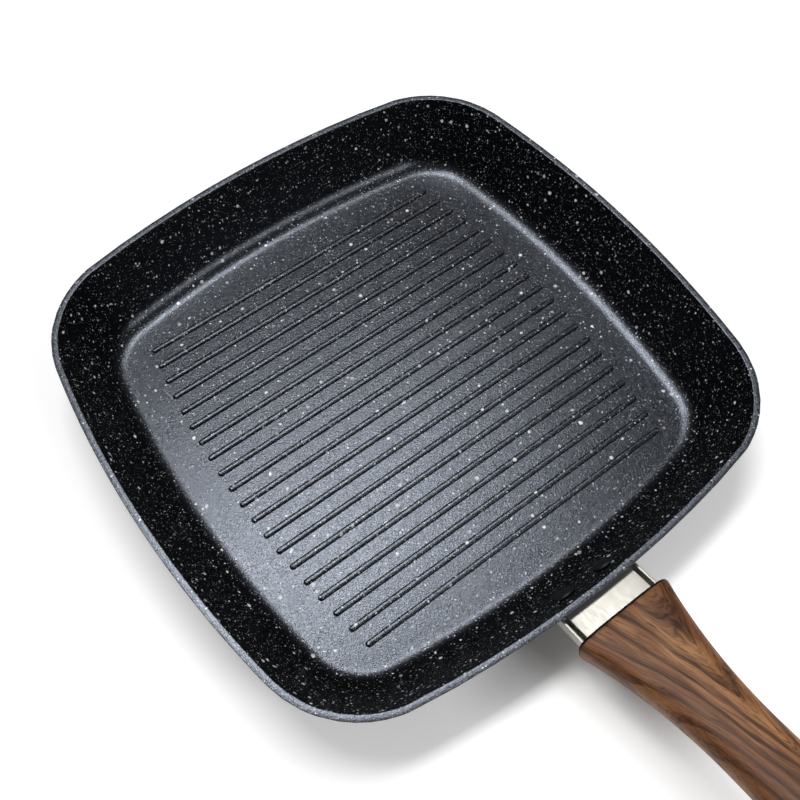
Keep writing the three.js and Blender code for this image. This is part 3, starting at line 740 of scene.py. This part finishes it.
def guard_mesh(pan, handle):
    """A channel section with round bends carried from the wall to the inside of the grip.

    Each line of the channel is stepped along the handle until it starts at its clearance from
    the wall: one seat gap for the cheeks, and past the rivets for the bottom.
    """
    half = handle.guard_width / 2
    bend = handle.guard_bend
    foot = -handle.guard_height
    turn = np.linspace(0, QUARTER, GUARD_BEND_POINTS)
    corner = np.stack([half - bend + bend * np.cos(turn), foot + bend - bend * np.sin(turn)], axis=1)
    cheek = np.linspace((half, 0), (half, foot + bend), CHEEK_POINTS)[:-1]
    right = np.concatenate([cheek, corner])
    section = np.concatenate([right, right[::-1] * (-1, 1)])
    across, up = section[:, :1], section[:, 1:]
    past_rivets = handle.bracket_thickness + handle.rivet_gap + handle.rivet_upset_height
    clear = pan.seat_gap + np.where(
        np.abs(across) > handle.bracket_width / 2 + pan.seat_gap, 0,
        pan.seat_gap + past_rivets / math.cos(outer_lean(pan)),
    )
    start = np.zeros_like(across)
    for _ in range(FIT_ROUNDS):
        place = handle_point(pan, handle, start, across, up)
        wall = outside_wall(pan, across, place[..., 2]) + clear
        start += (wall - place[..., 0]) / math.cos(handle.rise)
    along = start + np.linspace(0, 1, GUARD_POINTS) * (handle.guard_end - start)
    points = handle_point(pan, handle, along, across, up)
    return make_mesh("flame_guard", points, grid_quads(*along.shape))


def grip_size(handle, along, front, neck, tail):
    """A size along the grip: a parabola from its front to its neck, then a smooth swell."""
    flare = neck + (front - neck) * (1 - along / handle.flare_length) ** 2
    t = (along - handle.flare_length) / (handle.grip_length - handle.flare_length)
    swell = neck + (tail - neck) * t * t * (3 - 2 * t)
    return np.where(along < handle.flare_length, flare, swell)


def soft_rectangle(half_width, height_above, height_below, power_above, power_below, turn):
    """Across and up of a closed curve: cosine and sine raised to two over a power.

    The half above the widest line and the half below it have their own height and power.
    """
    cosine, sine = np.cos(turn), np.sin(turn)
    above = sine > 0
    power = 2 / np.where(above, power_above, power_below)
    height = np.where(above, height_above, height_below)
    across = half_width * np.sign(cosine) * np.abs(cosine) ** power
    up = height * np.sign(sine) * np.abs(sine) ** power
    return across, up


def grip_stations(handle):
    """Place along the grip, inset and share of full size of each ring from front to tail."""
    turn = np.linspace(0, QUARTER, FRONT_POINTS)
    front = handle.front_round * np.stack([1 - np.cos(turn), 1 - np.sin(turn)], axis=1)
    body_end = handle.grip_length - handle.tail_round
    body = np.linspace(handle.front_round, body_end, BODY_POINTS)[1:]
    tail_turn = np.linspace(0, QUARTER, TAIL_POINTS)[1:]
    tail = body_end + handle.tail_round * np.sin(tail_turn)
    along = np.concatenate([front[:, 0], body, tail])
    inset = np.concatenate([front[:, 1], 0 * body, 0 * tail])
    share = np.concatenate([np.ones(len(front) + len(body)), np.cos(tail_turn)])
    return along[:, None], inset[:, None], share[:, None]


def grip_skin(pan, handle):
    """Soft rectangles carried along the grip, and a recess for the guard in its front."""
    turn = full_turn(GRIP_SIDES)
    along, inset, share = grip_stations(handle)
    width = grip_size(handle, along, handle.front_width, handle.neck_width, handle.tail_width)
    crown = grip_size(handle, along, handle.front_crown, handle.neck_crown, handle.tail_crown)
    belly = grip_size(handle, along, handle.front_belly, handle.neck_belly, handle.tail_belly)
    shoulder = grip_size(
        handle, along, handle.front_squareness, handle.neck_squareness, handle.neck_squareness
    )
    across, up = soft_rectangle(
        (width / 2 - inset) * share, (crown - inset) * share, (belly - inset) * share,
        shoulder, handle.belly_squareness, turn,
    )
    widest = -handle.widest_drop - handle.tail_drop * (along / handle.grip_length) ** 2
    outside = handle_point(pan, handle, handle.grip_start + along, across, widest + up)
    gap = pan.seat_gap
    recess_end = handle.guard_end + gap
    recess_along = np.array([[recess_end], [recess_end], [handle.grip_start]])
    recess_share = np.array([[0.0], [1.0], [1.0]])
    recess_half = recess_share * (handle.guard_height / 2 + gap)
    recess_across, recess_up = soft_rectangle(
        recess_share * (handle.guard_width / 2 + gap), recess_half, recess_half,
        RECESS_SQUARENESS, RECESS_SQUARENESS, turn,
    )
    recess = handle_point(
        pan, handle, recess_along, recess_across, recess_up - handle.guard_height / 2
    )
    return make_mesh("grip", *loft(np.concatenate([recess, outside])))


def slot_cutter(pan, handle):
    """A tall oblong prism that widens as a quarter round where it leaves the grip's two faces."""
    radius = handle.slot_width / 2
    edge = handle.slot_edge
    turn = full_turn(SLOT_SIDES)
    rear = handle.grip_start + handle.grip_length - handle.slot_to_tail
    middle = rear - handle.slot_length / 2
    straight = handle.slot_length / 2 - radius
    face = (handle.tail_crown + handle.tail_belly) / 2
    round_turn = np.linspace(0, QUARTER, SLOT_EDGE_POINTS)
    upper = np.stack([face - edge + edge * np.sin(round_turn), edge * (1 - np.cos(round_turn))], axis=1)
    upper = np.concatenate([upper, [(2 * face, edge)]])
    levels = np.concatenate([upper[::-1] * (-1, 1), upper])
    reach = radius + levels[:, 1:]
    near_tail = 1 - (handle.slot_to_tail + handle.slot_length / 2) / handle.grip_length
    widest = -handle.widest_drop - handle.tail_drop * near_tail ** 2
    centre = widest + (handle.tail_crown - handle.tail_belly) / 2
    along = middle + np.sign(np.cos(turn)) * straight + reach * np.cos(turn)
    rings = handle_point(pan, handle, along, reach * np.sin(turn), centre + levels[:, :1])
    return make_mesh("slot", *loft(capped(rings)))


def driver_bore_cutter(pan, handle):
    """A round bore along the screw's axis that opens into the hanging slot."""
    turn = full_turn(BORE_SIDES)
    slot_start = handle.grip_start + handle.grip_length - handle.slot_to_tail - handle.slot_length
    ends = np.array([[handle.driver_bore_start], [slot_start + handle.slot_width / 2]])
    along = ends[[0, 0, 1, 1]]
    radius = np.array([[0], [1], [1], [0]]) * handle.driver_bore / 2
    rings = handle_point(
        pan, handle, along, radius * np.cos(turn), radius * np.sin(turn) - handle.screw_drop
    )
    return make_mesh("driver_bore", *loft(rings))


def grip_mesh(pan, handle):
    """The grip's skin, less the hanging slot and the bore for the screwdriver."""
    cutters = [slot_cutter(pan, handle), driver_bore_cutter(pan, handle)]
    return cut_away("grip", grip_skin(pan, handle), cutters)


# Materials

# Settings of a smooth ramp, and of a mix of colours, whose third output is the colour
SOFT = {"interpolation_type": "SMOOTHSTEP"}
COLOUR_MIX = {"output": 2, "data_type": "RGBA"}


def add_node(tree, kind, inputs=None, output=0, **settings):
    """Add a node and give one output: settings are its options, inputs its sockets' values or links."""
    node = tree.nodes.new("ShaderNode" + kind)
    for name, value in settings.items():
        setattr(node, name, value)
    for name, value in (inputs or {}).items():
        if isinstance(value, bpy.types.NodeSocket):
            tree.links.new(value, node.inputs[name])
        else:
            node.inputs[name].default_value = value
    return node.outputs[output]


def new_material(name, **values):
    """A material and its surface shader, with plain values set on the shader's sockets."""
    material = bpy.data.materials.new(name)
    material.use_nodes = True
    shader = material.node_tree.nodes["Principled BSDF"]
    for socket, value in values.items():
        shader.inputs[socket.replace("_", " ")].default_value = value
    return material, material.node_tree, shader


# Chips as cell size in millimetres, share of cells that hold one, largest radius in millimetres,
# and paleness
CHIPS = ((0.85, 0.50, 0.28, 0.48), (1.6, 0.23, 0.50, 1.0), (3.8, 0.20, 1.05, 1.0))
# Smallest chip, dullest chip and soft edge, as shares of the largest, the palest and the radius
CHIP_SMALLEST = 0.4
CHIP_DULLEST = 0.3
CHIP_EDGE = 0.15
# How far chips' outlines stray, and over what length, in millimetres
CHIP_RAGGED = 1.2
CHIP_RAGGED_SIZE = 0.8
# Width and depth of the coat's grains in millimetres. Sprayed grains are about a quarter as wide,
# too fine to show, so they are drawn coarser
GRAIN_SIZE = 0.75
GRAIN_DEPTH = 0.08
# Painted sheen on the rim's top, weaker on its outer half: how far down from the rim's top the pale
# grains reach and how far in from its outside the inner half starts, in millimetres, and the share of
# the sheen on the outer half
RIM_SHEEN_DEPTH = 0.2
RIM_SHEEN_INSET = (1.2, 1.7)
RIM_SHEEN_OUTSIDE = 0.35
# Width and depth of the brush marks over the rivets, in millimetres
BRUSH_MARK = 1.1
BRUSH_DEPTH = 0.05


def chip_layer(tree, place, cell, share, radius, paleness):
    """How pale each point is from chips of one size: a share of the cells hold a blob each."""
    cells = add_node(tree, "TexVoronoi", {"Vector": place, "Scale": 1 / (cell * MM)}).node.outputs
    chance = add_node(tree, "SeparateColor", {"Color": cells["Color"]}).node.outputs
    reach = add_node(tree, "MapRange", {
        "Value": chance[0], "From Min": 1 - share, "From Max": 1.0,
        "To Min": CHIP_SMALLEST * radius / cell, "To Max": radius / cell,
    }, clamp=False)
    inside = add_node(tree, "Math", {0: reach, 1: cells["Distance"]}, operation="SUBTRACT")
    tone = add_node(tree, "MapRange", {
        "Value": chance[1], "To Min": CHIP_DULLEST * paleness, "To Max": paleness,
    })
    blob = add_node(tree, "MapRange", {
        "Value": inside, "From Min": 0.0, "From Max": CHIP_EDGE * radius / cell, "To Max": tone,
    })
    held = add_node(tree, "Math", {0: chance[0], 1: 1 - share}, operation="GREATER_THAN")
    return add_node(tree, "Math", {0: blob, 1: held}, operation="MULTIPLY")


def granite_coating(pan, finish):
    """Sprayed granite-look non-stick: near black, satin, finely pebbled, with pale mineral chips.

    The pebbled surface breaks the sheen into fine grains. The chips come in three sizes, with
    outlines that a noise makes ragged. The coat's grains are painted paler on the rim's top, most on
    its inner half: a painted sheen. The mineral filling makes its shine stronger than plain lacquer's
    and a little blue.
    """
    material, tree, shader = new_material(
        "Sprayed granite non-stick", Roughness=0.25, IOR=1.6, Specular_Tint=(0.79, 0.865, 1.0, 1)
    )
    place = add_node(tree, "TexCoord", output="Object")
    grain = add_node(tree, "TexNoise", {
        "Vector": place, "Scale": 1 / (GRAIN_SIZE * MM), "Detail": 0.0, "Distortion": 1.2,
    })
    warp = add_node(tree, "TexNoise", {
        "Vector": place, "Scale": 1 / (CHIP_RAGGED_SIZE * MM), "Detail": 1.0,
    }, "Color")
    ragged = add_node(tree, "VectorMath", {
        0: warp, 1: (CHIP_RAGGED * MM,) * 3, 2: place,
    }, operation="MULTIPLY_ADD")
    chips = 0.0
    for chip in CHIPS:
        layer = chip_layer(tree, ragged, *chip)
        chips = add_node(tree, "Math", {0: chips, 1: layer}, operation="MAXIMUM")
    # Painted sheen: the coat's grains turn paler on the rim's top, less on its outer half
    rim_sheen = add_node(tree, "MapRange", {
        "Value": add_node(tree, "Attribute", output="Fac", attribute_name="inset"),
        "From Min": RIM_SHEEN_INSET[0] * MM, "From Max": RIM_SHEEN_INSET[1] * MM, "To Min": RIM_SHEEN_OUTSIDE,
    })
    rim_sheen = add_node(tree, "MapRange", {
        "Value": add_node(tree, "SeparateXYZ", {"Vector": place}, 2),
        "From Min": pan.height - RIM_SHEEN_DEPTH * MM, "From Max": pan.height, "To Max": rim_sheen,
    })
    salt = add_node(tree, "MapRange", {
        "Value": grain, "From Min": 0.25, "From Max": 0.7, "To Max": rim_sheen,
    })
    ground = add_node(tree, "Mix", {
        "Factor": salt, 6: (*finish.coating, 1), 7: (*finish.rim_painted_sheen, 1),
    }, **COLOUR_MIX)
    tint = add_node(tree, "Mix", {
        "Factor": chips, 6: ground, 7: (*finish.chip, 1),
    }, **COLOUR_MIX)
    pebble = add_node(tree, "Bump", {"Height": grain, "Strength": 1.0, "Distance": GRAIN_DEPTH * MM})
    tree.links.new(tint, shader.inputs["Base Color"])
    tree.links.new(pebble, shader.inputs["Normal"])
    return material


def plain_coating(finish):
    """The same non-stick without chips, brushed over the rivets' heads: brush marks show in it."""
    material, tree, shader = new_material("Brushed dark non-stick", Roughness=0.42, IOR=1.6)
    place = add_node(tree, "TexCoord", output="Object")
    marks = add_node(tree, "TexNoise", {"Vector": place, "Scale": 1 / (BRUSH_MARK * MM), "Detail": 2.0})
    tint = add_node(tree, "Mix", {
        "Factor": marks, 6: (*finish.coating, 1), 7: (*finish.plain_coating, 1),
    }, **COLOUR_MIX)
    relief = add_node(tree, "Bump", {"Height": marks, "Strength": 0.5, "Distance": BRUSH_DEPTH * MM})
    tree.links.new(tint, shader.inputs["Base Color"])
    tree.links.new(relief, shader.inputs["Normal"])
    return material


# Depth of drawn lines in millimetres, and how far they raise or lower the roughness
LINE_DEPTH = 0.01
LINE_ROUGHNESS = 0.06


def brushed_metal(name, tone, roughness, streak):
    """Metal with fine drawn lines: lines one way spread its reflection the other way.

    streak holds the lengths of a line along X, Y and Z in millimetres, drawn wider than the
    real ones so that they show.
    """
    material, tree, shader = new_material(name, Base_Color=(*tone, 1), Metallic=1.0)
    drawn = add_node(tree, "Mapping", {
        "Vector": add_node(tree, "TexCoord", output="Object"),
        "Scale": tuple(1 / (size * MM) for size in streak),
    })
    lines = add_node(tree, "TexNoise", {"Vector": drawn, "Scale": 1.0, "Detail": 3.0})
    rough = add_node(tree, "MapRange", {
        "Value": lines, "From Min": 0.3, "From Max": 0.7,
        "To Min": roughness - LINE_ROUGHNESS, "To Max": roughness + LINE_ROUGHNESS,
    })
    scratch = add_node(tree, "Bump", {"Height": lines, "Strength": 0.1, "Distance": LINE_DEPTH * MM})
    tree.links.new(rough, shader.inputs["Roughness"])
    tree.links.new(scratch, shader.inputs["Normal"])
    return material


# Pitch and depth of the lathe's rings in millimetres, drawn several times wider apart than real
# ones so that they show, and the pitch of a wave of scale one
FACING_PITCH = 0.8
FACING_DEPTH = 0.03
WAVE_PITCH = 0.3


def ground_steel(finish):
    """Ferritic steel plate faced on a lathe: its fine rings spread a highlight into two fans."""
    material, tree, shader = new_material(
        "Faced ferritic steel", Base_Color=(*finish.induction_steel, 1), Metallic=1.0, Roughness=0.38
    )
    rings = add_node(tree, "TexWave", {
        "Vector": add_node(tree, "TexCoord", output="Object"),
        "Scale": WAVE_PITCH / (FACING_PITCH * MM), "Distortion": 0.4, "Detail": 2.0,
    }, "Fac", wave_type="RINGS", rings_direction="Z")
    cut_marks = add_node(tree, "Bump", {"Height": rings, "Strength": 0.25, "Distance": FACING_DEPTH * MM})
    tree.links.new(cut_marks, shader.inputs["Normal"])
    return material


# Walnut film in millimetres: heart of the arches across the grip, roundness of their tips, ring
# pitch, how far the rings wander, and sizes along and across the grain of that wander, of the
# fibres and of the pores. Real fibres and pores are a few times finer, and are drawn coarser to show
HEART = 8
ARCH_ROUND = 2.5
RING_PITCH = 4.2
RING_WANDER = 7
WANDER = (60, 10)
FIBRE = (45, 0.5)
PORE = (9, 0.45)
FIBRE_DEPTH = 0.05
# How many times longer than wide the arches are
ARCH_SLOPE = 6.5
# Painted shade: the grip is darkened from its front to this far back, fading out by the second length, in
# millimetres, where shade falls between the grip and the guard
FRONT_SHADE_START = 1.5
FRONT_SHADE_END = 1.9


def stretched_noise(tree, place, along, across, detail):
    """Noise drawn out along the grip: sizes in millimetres along and across it."""
    scale = (1 / (along * MM), 1 / (across * MM), 1 / (across * MM))
    drawn = add_node(tree, "Mapping", {"Vector": place, "Scale": scale})
    return add_node(tree, "TexNoise", {"Vector": drawn, "Scale": 1.0, "Detail": detail, "Roughness": 0.6})


def walnut_film(pan, handle, finish):
    """Walnut-effect film on a moulded grip, under a satin lacquer.

    Grain runs along the grip and fans out with its flare. Nested arches, as in a board cut off
    the heart, are hyperbolas: the distance from the heart, rounded near it, plus a share of the
    place along the grip. Fibres and pores follow them. Each ring darkens slowly and ends at once.
    """
    material, tree, shader = new_material("Walnut film under satin lacquer", Roughness=0.5, IOR=1.33)
    # bare is the colour of the painted shade along the grip's front edge
    light, middle, dark, bare = (
        (*tone, 1) for tone in (finish.wood_light, finish.wood_middle, finish.wood_dark, finish.front_painted_shade)
    )
    turn_back = Euler((0, handle.rise, 0))
    origin = Vector((pan.rim_width / 2, 0, pan.height - handle.below_rim))
    origin.rotate(turn_back)
    place = add_node(tree, "Mapping", {
        "Vector": add_node(tree, "TexCoord", output="Object"),
        "Rotation": turn_back, "Location": -origin,
    })
    axes = add_node(tree, "SeparateXYZ", {"Vector": place}).node.outputs
    fan = add_node(tree, "MapRange", {
        "Value": axes[0], "From Min": handle.grip_start + handle.flare_length,
        "From Max": handle.grip_start, "To Min": 1.0, "To Max": handle.front_width / handle.neck_width,
    }, **SOFT)
    across = add_node(tree, "Math", {0: axes[1], 1: fan}, operation="DIVIDE")
    fanned = add_node(tree, "CombineXYZ", {0: axes[0], 1: across, 2: axes[2]})
    wander = stretched_noise(tree, fanned, *WANDER, 2.0)
    off_heart = add_node(tree, "Math", {0: across, 1: HEART * MM}, operation="SUBTRACT")
    square = add_node(tree, "Math", {
        0: off_heart, 1: off_heart, 2: (ARCH_ROUND * MM) ** 2,
    }, operation="MULTIPLY_ADD")
    spread = add_node(tree, "Math", {0: square}, operation="SQRT")
    drift = add_node(tree, "Math", {0: wander, 1: RING_WANDER * MM, 2: spread}, operation="MULTIPLY_ADD")
    arch = add_node(tree, "Math", {0: axes[0], 1: 1 / ARCH_SLOPE, 2: drift}, operation="MULTIPLY_ADD")
    bent = add_node(tree, "CombineXYZ", {0: axes[0], 1: arch, 2: axes[2]})
    fibre = stretched_noise(tree, bent, *FIBRE, 4.0)
    pores = stretched_noise(tree, bent, *PORE, 2.0)
    rings = add_node(tree, "Math", {0: arch, 1: RING_PITCH * MM}, operation="DIVIDE")
    ring = add_node(tree, "Math", {0: rings}, operation="FRACT")
    ring_end = add_node(tree, "MapRange", {
        "Value": ring, "From Min": 0.88, "From Max": 1.0, "To Min": 0.55, "To Max": 0.0,
    }, **SOFT)
    late = add_node(tree, "MapRange", {
        "Value": ring, "From Min": 0.25, "From Max": 0.85, "To Max": ring_end,
    }, **SOFT)
    # Painted shade: a dark band along the grip's front edge, where it meets the guard
    front_shade_start, front_shade_end = handle.grip_start + FRONT_SHADE_START * MM, handle.grip_start + FRONT_SHADE_END * MM
    streak, pale, pore, front = (
        add_node(tree, "MapRange", {
            "Value": value, "From Min": low, "From Max": high, "To Max": most,
        }, **SOFT)
        for value, low, high, most in (
            (fibre, 0.58, 0.4, 0.4),
            (wander, 0.4, 0.65, 1.0),
            (pores, 0.46, 0.32, 0.6),
            (axes[0], front_shade_end, front_shade_start, 1.0),
        )
    )
    wood = add_node(tree, "Mix", {"Factor": pale, 6: light, 7: middle}, **COLOUR_MIX)
    tone = add_node(tree, "Math", {0: late, 1: streak}, operation="ADD")
    for share, colour_over in ((tone, dark), (pore, dark), (front, bare)):
        wood = add_node(tree, "Mix", {"Factor": share, 6: wood, 7: colour_over}, **COLOUR_MIX)
    relief = add_node(tree, "Bump", {"Height": fibre, "Strength": 0.15, "Distance": FIBRE_DEPTH * MM})
    tree.links.new(wood, shader.inputs["Base Color"])
    tree.links.new(relief, shader.inputs["Normal"])
    return material


# Where the paper's glow turns from the pan's to the handle's, along X, and to a full glow, all
# round, in millimetres. The stronger glow on the handle's side is painted light that lightens the
# handle's shadow
GLOW_TURN = (140, 168)
GLOW_FAR = (200, 500)
# Painted shade: middle and half sizes, in millimetres, of two ellipses by the handle's root and
# under the grip where the glow fades out to deepen the shadows, and the share of those sizes within
# which the paper has no glow
PAINTED_SHADOWS = ((137, -18, 34, 60), (166, 0, 60, 22))
PAINTED_SHADOW_CORE = 0.2


def white_paper(stage):
    """Seamless white paper: it takes the pan's shadow, and looks white where it is lit.

    It glows a little where it is seen, more beside the handle than beside the pan, fully far
    from both, and less and less towards the middles of the two deep shadows. The stronger glow
    beside the handle is painted light that lightens its shadow, and the fading glow in the two
    shadows is painted shade.
    """
    material, tree, shader = new_material(
        "White paper", Base_Color=(0.8, 0.8, 0.8, 1), Roughness=0.9, Specular_IOR_Level=0.0,
        Emission_Color=(1, 1, 1, 1),
    )
    place = add_node(tree, "TexCoord", output="Object")
    # Painted light: the glow rises towards the handle's side, lightening the handle's shadow
    glow = add_node(tree, "MapRange", {
        "Value": add_node(tree, "SeparateXYZ", {"Vector": place}),
        "From Min": GLOW_TURN[0] * MM, "From Max": GLOW_TURN[1] * MM,
        "To Min": stage.pan_glow, "To Max": stage.handle_painted_light,
    }, **SOFT)
    far = add_node(tree, "VectorMath", {0: place}, "Value", operation="LENGTH")
    glow = add_node(tree, "MapRange", {
        "Value": far, "From Min": GLOW_FAR[0] * MM, "From Max": GLOW_FAR[1] * MM,
        "To Min": glow, "To Max": 1.0,
    }, **SOFT)
    # Painted shade: the glow fades towards the middle of each ellipse, deepening the shadow there
    for x, y, along, across in PAINTED_SHADOWS:
        share = add_node(tree, "Mapping", {
            "Vector": place, "Location": (x * MM, y * MM, 0), "Scale": (along * MM, across * MM, 1),
        }, vector_type="TEXTURE")
        away = add_node(tree, "VectorMath", {0: share}, "Value", operation="LENGTH")
        glow = add_node(tree, "MapRange", {
            "Value": away, "From Min": PAINTED_SHADOW_CORE, "From Max": 1.0, "To Max": glow,
        }, **SOFT)
    path = add_node(tree, "LightPath").node.outputs
    seen = path["Is Camera Ray"]
    for ray in ("Is Glossy Ray", "Is Transmission Ray"):
        seen = add_node(tree, "Math", {0: seen, 1: path[ray]}, operation="MAXIMUM")
    strength = add_node(tree, "Math", {0: seen, 1: glow}, operation="MULTIPLY")
    tree.links.new(strength, shader.inputs["Emission Strength"])
    return material


# Stage

# Half the paper's side in metres, the camera's sensor in millimetres, and the angles above the
# horizon, in degrees, at which the walls end and the ceiling begins
PAPER_REACH = 4.0
SENSOR_WIDTH = 36
WALL_TOP = 30
CEILING_EDGE = 60


def lay_paper(stage):
    """A wide sheet of paper under the pan."""
    corners = np.array([(-1, -1, 0), (1, -1, 0), (1, 1, 0), (-1, 1, 0)]) * PAPER_REACH
    paper = bpy.data.meshes.new("paper")
    paper.from_pydata(corners.tolist(), [], [(0, 1, 2, 3)])
    paper.materials.append(white_paper(stage))
    make_object("paper", paper)


def add_soft_box(name, place, size, turn, power):
    """An oblong area light at a place, tilted from facing down and then turned, in degrees."""
    lamp = bpy.data.lights.new(name, "AREA")
    lamp.shape = "RECTANGLE"
    lamp.size, lamp.size_y = size
    lamp.energy = power
    box = make_object(name, lamp)
    box.location = place
    box.rotation_euler = (0, math.radians(turn[0]), math.radians(turn[1]))


def light_world(scene, stage):
    """Even white light from all round, in a room with dark walls and a dim ceiling.

    The camera sees plain white. A gloss sees dark walls that fade into the ceiling.
    """
    world = bpy.data.worlds.new("white_room")
    world.use_nodes = True
    tree = world.node_tree
    background = tree.nodes["Background"]
    background.inputs["Color"].default_value = (1, 1, 1, 1)
    path = add_node(tree, "LightPath").node.outputs
    way = add_node(tree, "TexCoord", output="Generated")
    room = add_node(tree, "MapRange", {
        "Value": add_node(tree, "SeparateXYZ", {"Vector": way}, 2),
        "From Min": math.sin(math.radians(WALL_TOP)), "From Max": math.sin(math.radians(CEILING_EDGE)),
        "To Min": stage.walls, "To Max": stage.ceiling,
    }, **SOFT)
    strength = stage.ambient
    for ray, seen in (("Is Glossy Ray", room), ("Is Transmission Ray", 1.0), ("Is Camera Ray", 1.0)):
        strength = add_node(tree, "Mix", {0: path[ray], 2: strength, 3: seen}, data_type="FLOAT")
    tree.links.new(strength, background.inputs["Strength"])
    scene.world = world


def place_camera(scene, stage):
    """The camera by its place, its turn about the vertical, its tilt and its roll."""
    camera = bpy.data.cameras.new("camera")
    camera.sensor_width = SENSOR_WIDTH
    camera.lens = stage.lens
    camera.clip_start = 1 * MM
    eye = make_object("camera", camera)
    eye.location = stage.camera_place
    tilt = Euler((QUARTER - stage.camera_elevation, 0, stage.camera_azimuth)).to_matrix()
    eye.rotation_euler = (tilt @ Euler((0, 0, stage.camera_roll)).to_matrix()).to_euler()
    scene.camera = eye


# Operators

class GRILLPAN_OT_body(Operator):
    """Build the coated pan body with its ribbed floor."""

    bl_idname = "grillpan.body"
    bl_label = "Pan Body"

    def execute(self, context):
        scene = context.scene
        make_piece(
            "granite_pan", pan_mesh(scene.pan_sizes), "granite_coating", ["pan_body"],
            granite_coating(scene.pan_sizes, scene.pan_finishes),
            brushed_metal(
                "Bare aluminium", scene.pan_finishes.bare_aluminium, roughness=0.4, streak=(1, 1, 1)
            ),
        )
        return {"FINISHED"}


class GRILLPAN_OT_base_plate(Operator):
    """Build the induction plate with its punched holes."""

    bl_idname = "grillpan.base_plate"
    bl_label = "Induction Plate"

    def execute(self, context):
        scene = context.scene
        make_piece(
            "punched_plate", plate_mesh(scene.pan_sizes), "induction_steel", ["induction_plate"],
            ground_steel(scene.pan_finishes),
        )
        return {"FINISHED"}


class GRILLPAN_OT_rivets(Operator):
    """Build the two rivets that hold the bracket to the wall."""

    bl_idname = "grillpan.rivets"
    bl_label = "Rivets"

    def execute(self, context):
        scene = context.scene
        coat = plain_coating(scene.pan_finishes)
        for node, side in (("rivet_left", 1), ("rivet_right", -1)):
            mesh = rivet_mesh(scene.pan_sizes, scene.handle_sizes, node, side)
            make_piece("coated_" + node, mesh, "granite_coating", [node], coat)
        return {"FINISHED"}


class GRILLPAN_OT_bracket(Operator):
    """Build the bent bracket and the flame guard round it."""

    bl_idname = "grillpan.bracket"
    bl_label = "Bracket and Guard"

    def execute(self, context):
        scene = context.scene
        pan, handle = scene.pan_sizes, scene.handle_sizes
        steel = brushed_metal(
            "Satin stainless steel", scene.pan_finishes.satin_steel, roughness=0.56, streak=(40, 1, 1)
        )
        make_piece("bent_bracket", bracket_mesh(pan, handle), "satin_steel", ["handle_bracket"], steel)
        guard = make_piece("guard_channel", guard_mesh(pan, handle), "satin_steel", ["flame_guard"], steel)
        wall = guard.modifiers.new("sheet", "SOLIDIFY")
        wall.thickness = handle.guard_thickness
        wall.offset = -1
        edge = guard.modifiers.new("edges", "BEVEL")
        edge.width = GUARD_EDGE
        edge.segments = 2
        return {"FINISHED"}


class GRILLPAN_OT_grip(Operator):
    """Build the wood-effect grip with its hanging slot."""

    bl_idname = "grillpan.grip"
    bl_label = "Grip"

    def execute(self, context):
        scene = context.scene
        pan, handle = scene.pan_sizes, scene.handle_sizes
        wood = walnut_film(pan, handle, scene.pan_finishes)
        make_piece("walnut_grip", grip_mesh(pan, handle), "walnut_grip", ["grip"], wood)
        return {"FINISHED"}


class GRILLPAN_OT_fasteners(Operator):
    """Give the screw, nut and washers inside the grip their zinc finish."""

    bl_idname = "grillpan.fasteners"
    bl_label = "Fasteners"

    def execute(self, context):
        zinc = brushed_metal(
            "Zinc-plated steel", context.scene.pan_finishes.zinc_steel,
            roughness=0.4, streak=(0.6, 0.6, 0.6),
        )
        for node in ("weld_nut", "flat_washer", "spring_washer", "handle_screw"):
            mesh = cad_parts[node].data
            mesh.materials.clear()
            mesh.materials.append(zinc)
        return {"FINISHED"}


class GRILLPAN_OT_stage(Operator):
    """Set up the white paper, the soft boxes and the camera."""

    bl_idname = "grillpan.stage"
    bl_label = "Stage"

    def execute(self, context):
        scene = context.scene
        stage = scene.stage_sizes
        lay_paper(stage)
        add_soft_box(
            "overhead_box", place=(-0.88, 0.19, 2.86), size=(0.5, 1.5), turn=(0, -6),
            power=stage.overhead_power,
        )
        add_soft_box(
            "handle_box", place=(1.65, 0.55, 1.6), size=(0.5, 0.5), turn=(47, 18),
            power=stage.handle_power,
        )
        light_world(scene, stage)
        place_camera(scene, stage)
        scene.view_settings.view_transform = "Standard"
        return {"FINISHED"}


class GRILLPAN_PT_sidebar(Panel):
    """Lists the pan's pieces, sizes and finishes."""

    bl_label = "Grill Pan"
    bl_idname = "GRILLPAN_PT_sidebar"
    bl_space_type = "VIEW_3D"
    bl_region_type = "UI"
    bl_category = "Grill Pan"

    def draw(self, context):
        for operator in PIECES:
            self.layout.operator(operator.bl_idname)
        for name, group in GROUPS.items():
            box = self.layout.box()
            box.label(text=group.__doc__)
            for size in group.__annotations__:
                box.prop(getattr(context.scene, name), size)


GROUPS = {
    "pan_sizes": PanSizes,
    "handle_sizes": HandleSizes,
    "pan_finishes": Finishes,
    "stage_sizes": StageSizes,
}
PIECES = (
    GRILLPAN_OT_body,
    GRILLPAN_OT_base_plate,
    GRILLPAN_OT_rivets,
    GRILLPAN_OT_bracket,
    GRILLPAN_OT_grip,
    GRILLPAN_OT_fasteners,
    GRILLPAN_OT_stage,
)
CLASSES = (*GROUPS.values(), *PIECES, GRILLPAN_PT_sidebar)


def register():
    """Register the classes and hang the property groups on the scene."""
    for cls in CLASSES:
        bpy.utils.register_class(cls)
    for name, group in GROUPS.items():
        setattr(bpy.types.Scene, name, PointerProperty(type=group))


def unregister():
    """Undo what register did, in the other order."""
    for name in reversed(GROUPS):
        delattr(bpy.types.Scene, name)
    for cls in reversed(CLASSES):
        bpy.utils.unregister_class(cls)


def main():
    """Build every piece and the stage."""
    register()
    bpy.ops.grillpan.body()
    bpy.ops.grillpan.base_plate()
    bpy.ops.grillpan.rivets()
    bpy.ops.grillpan.bracket()
    bpy.ops.grillpan.grip()
    bpy.ops.grillpan.fasteners()
    bpy.ops.grillpan.stage()


if __name__ == "__main__":
    main()
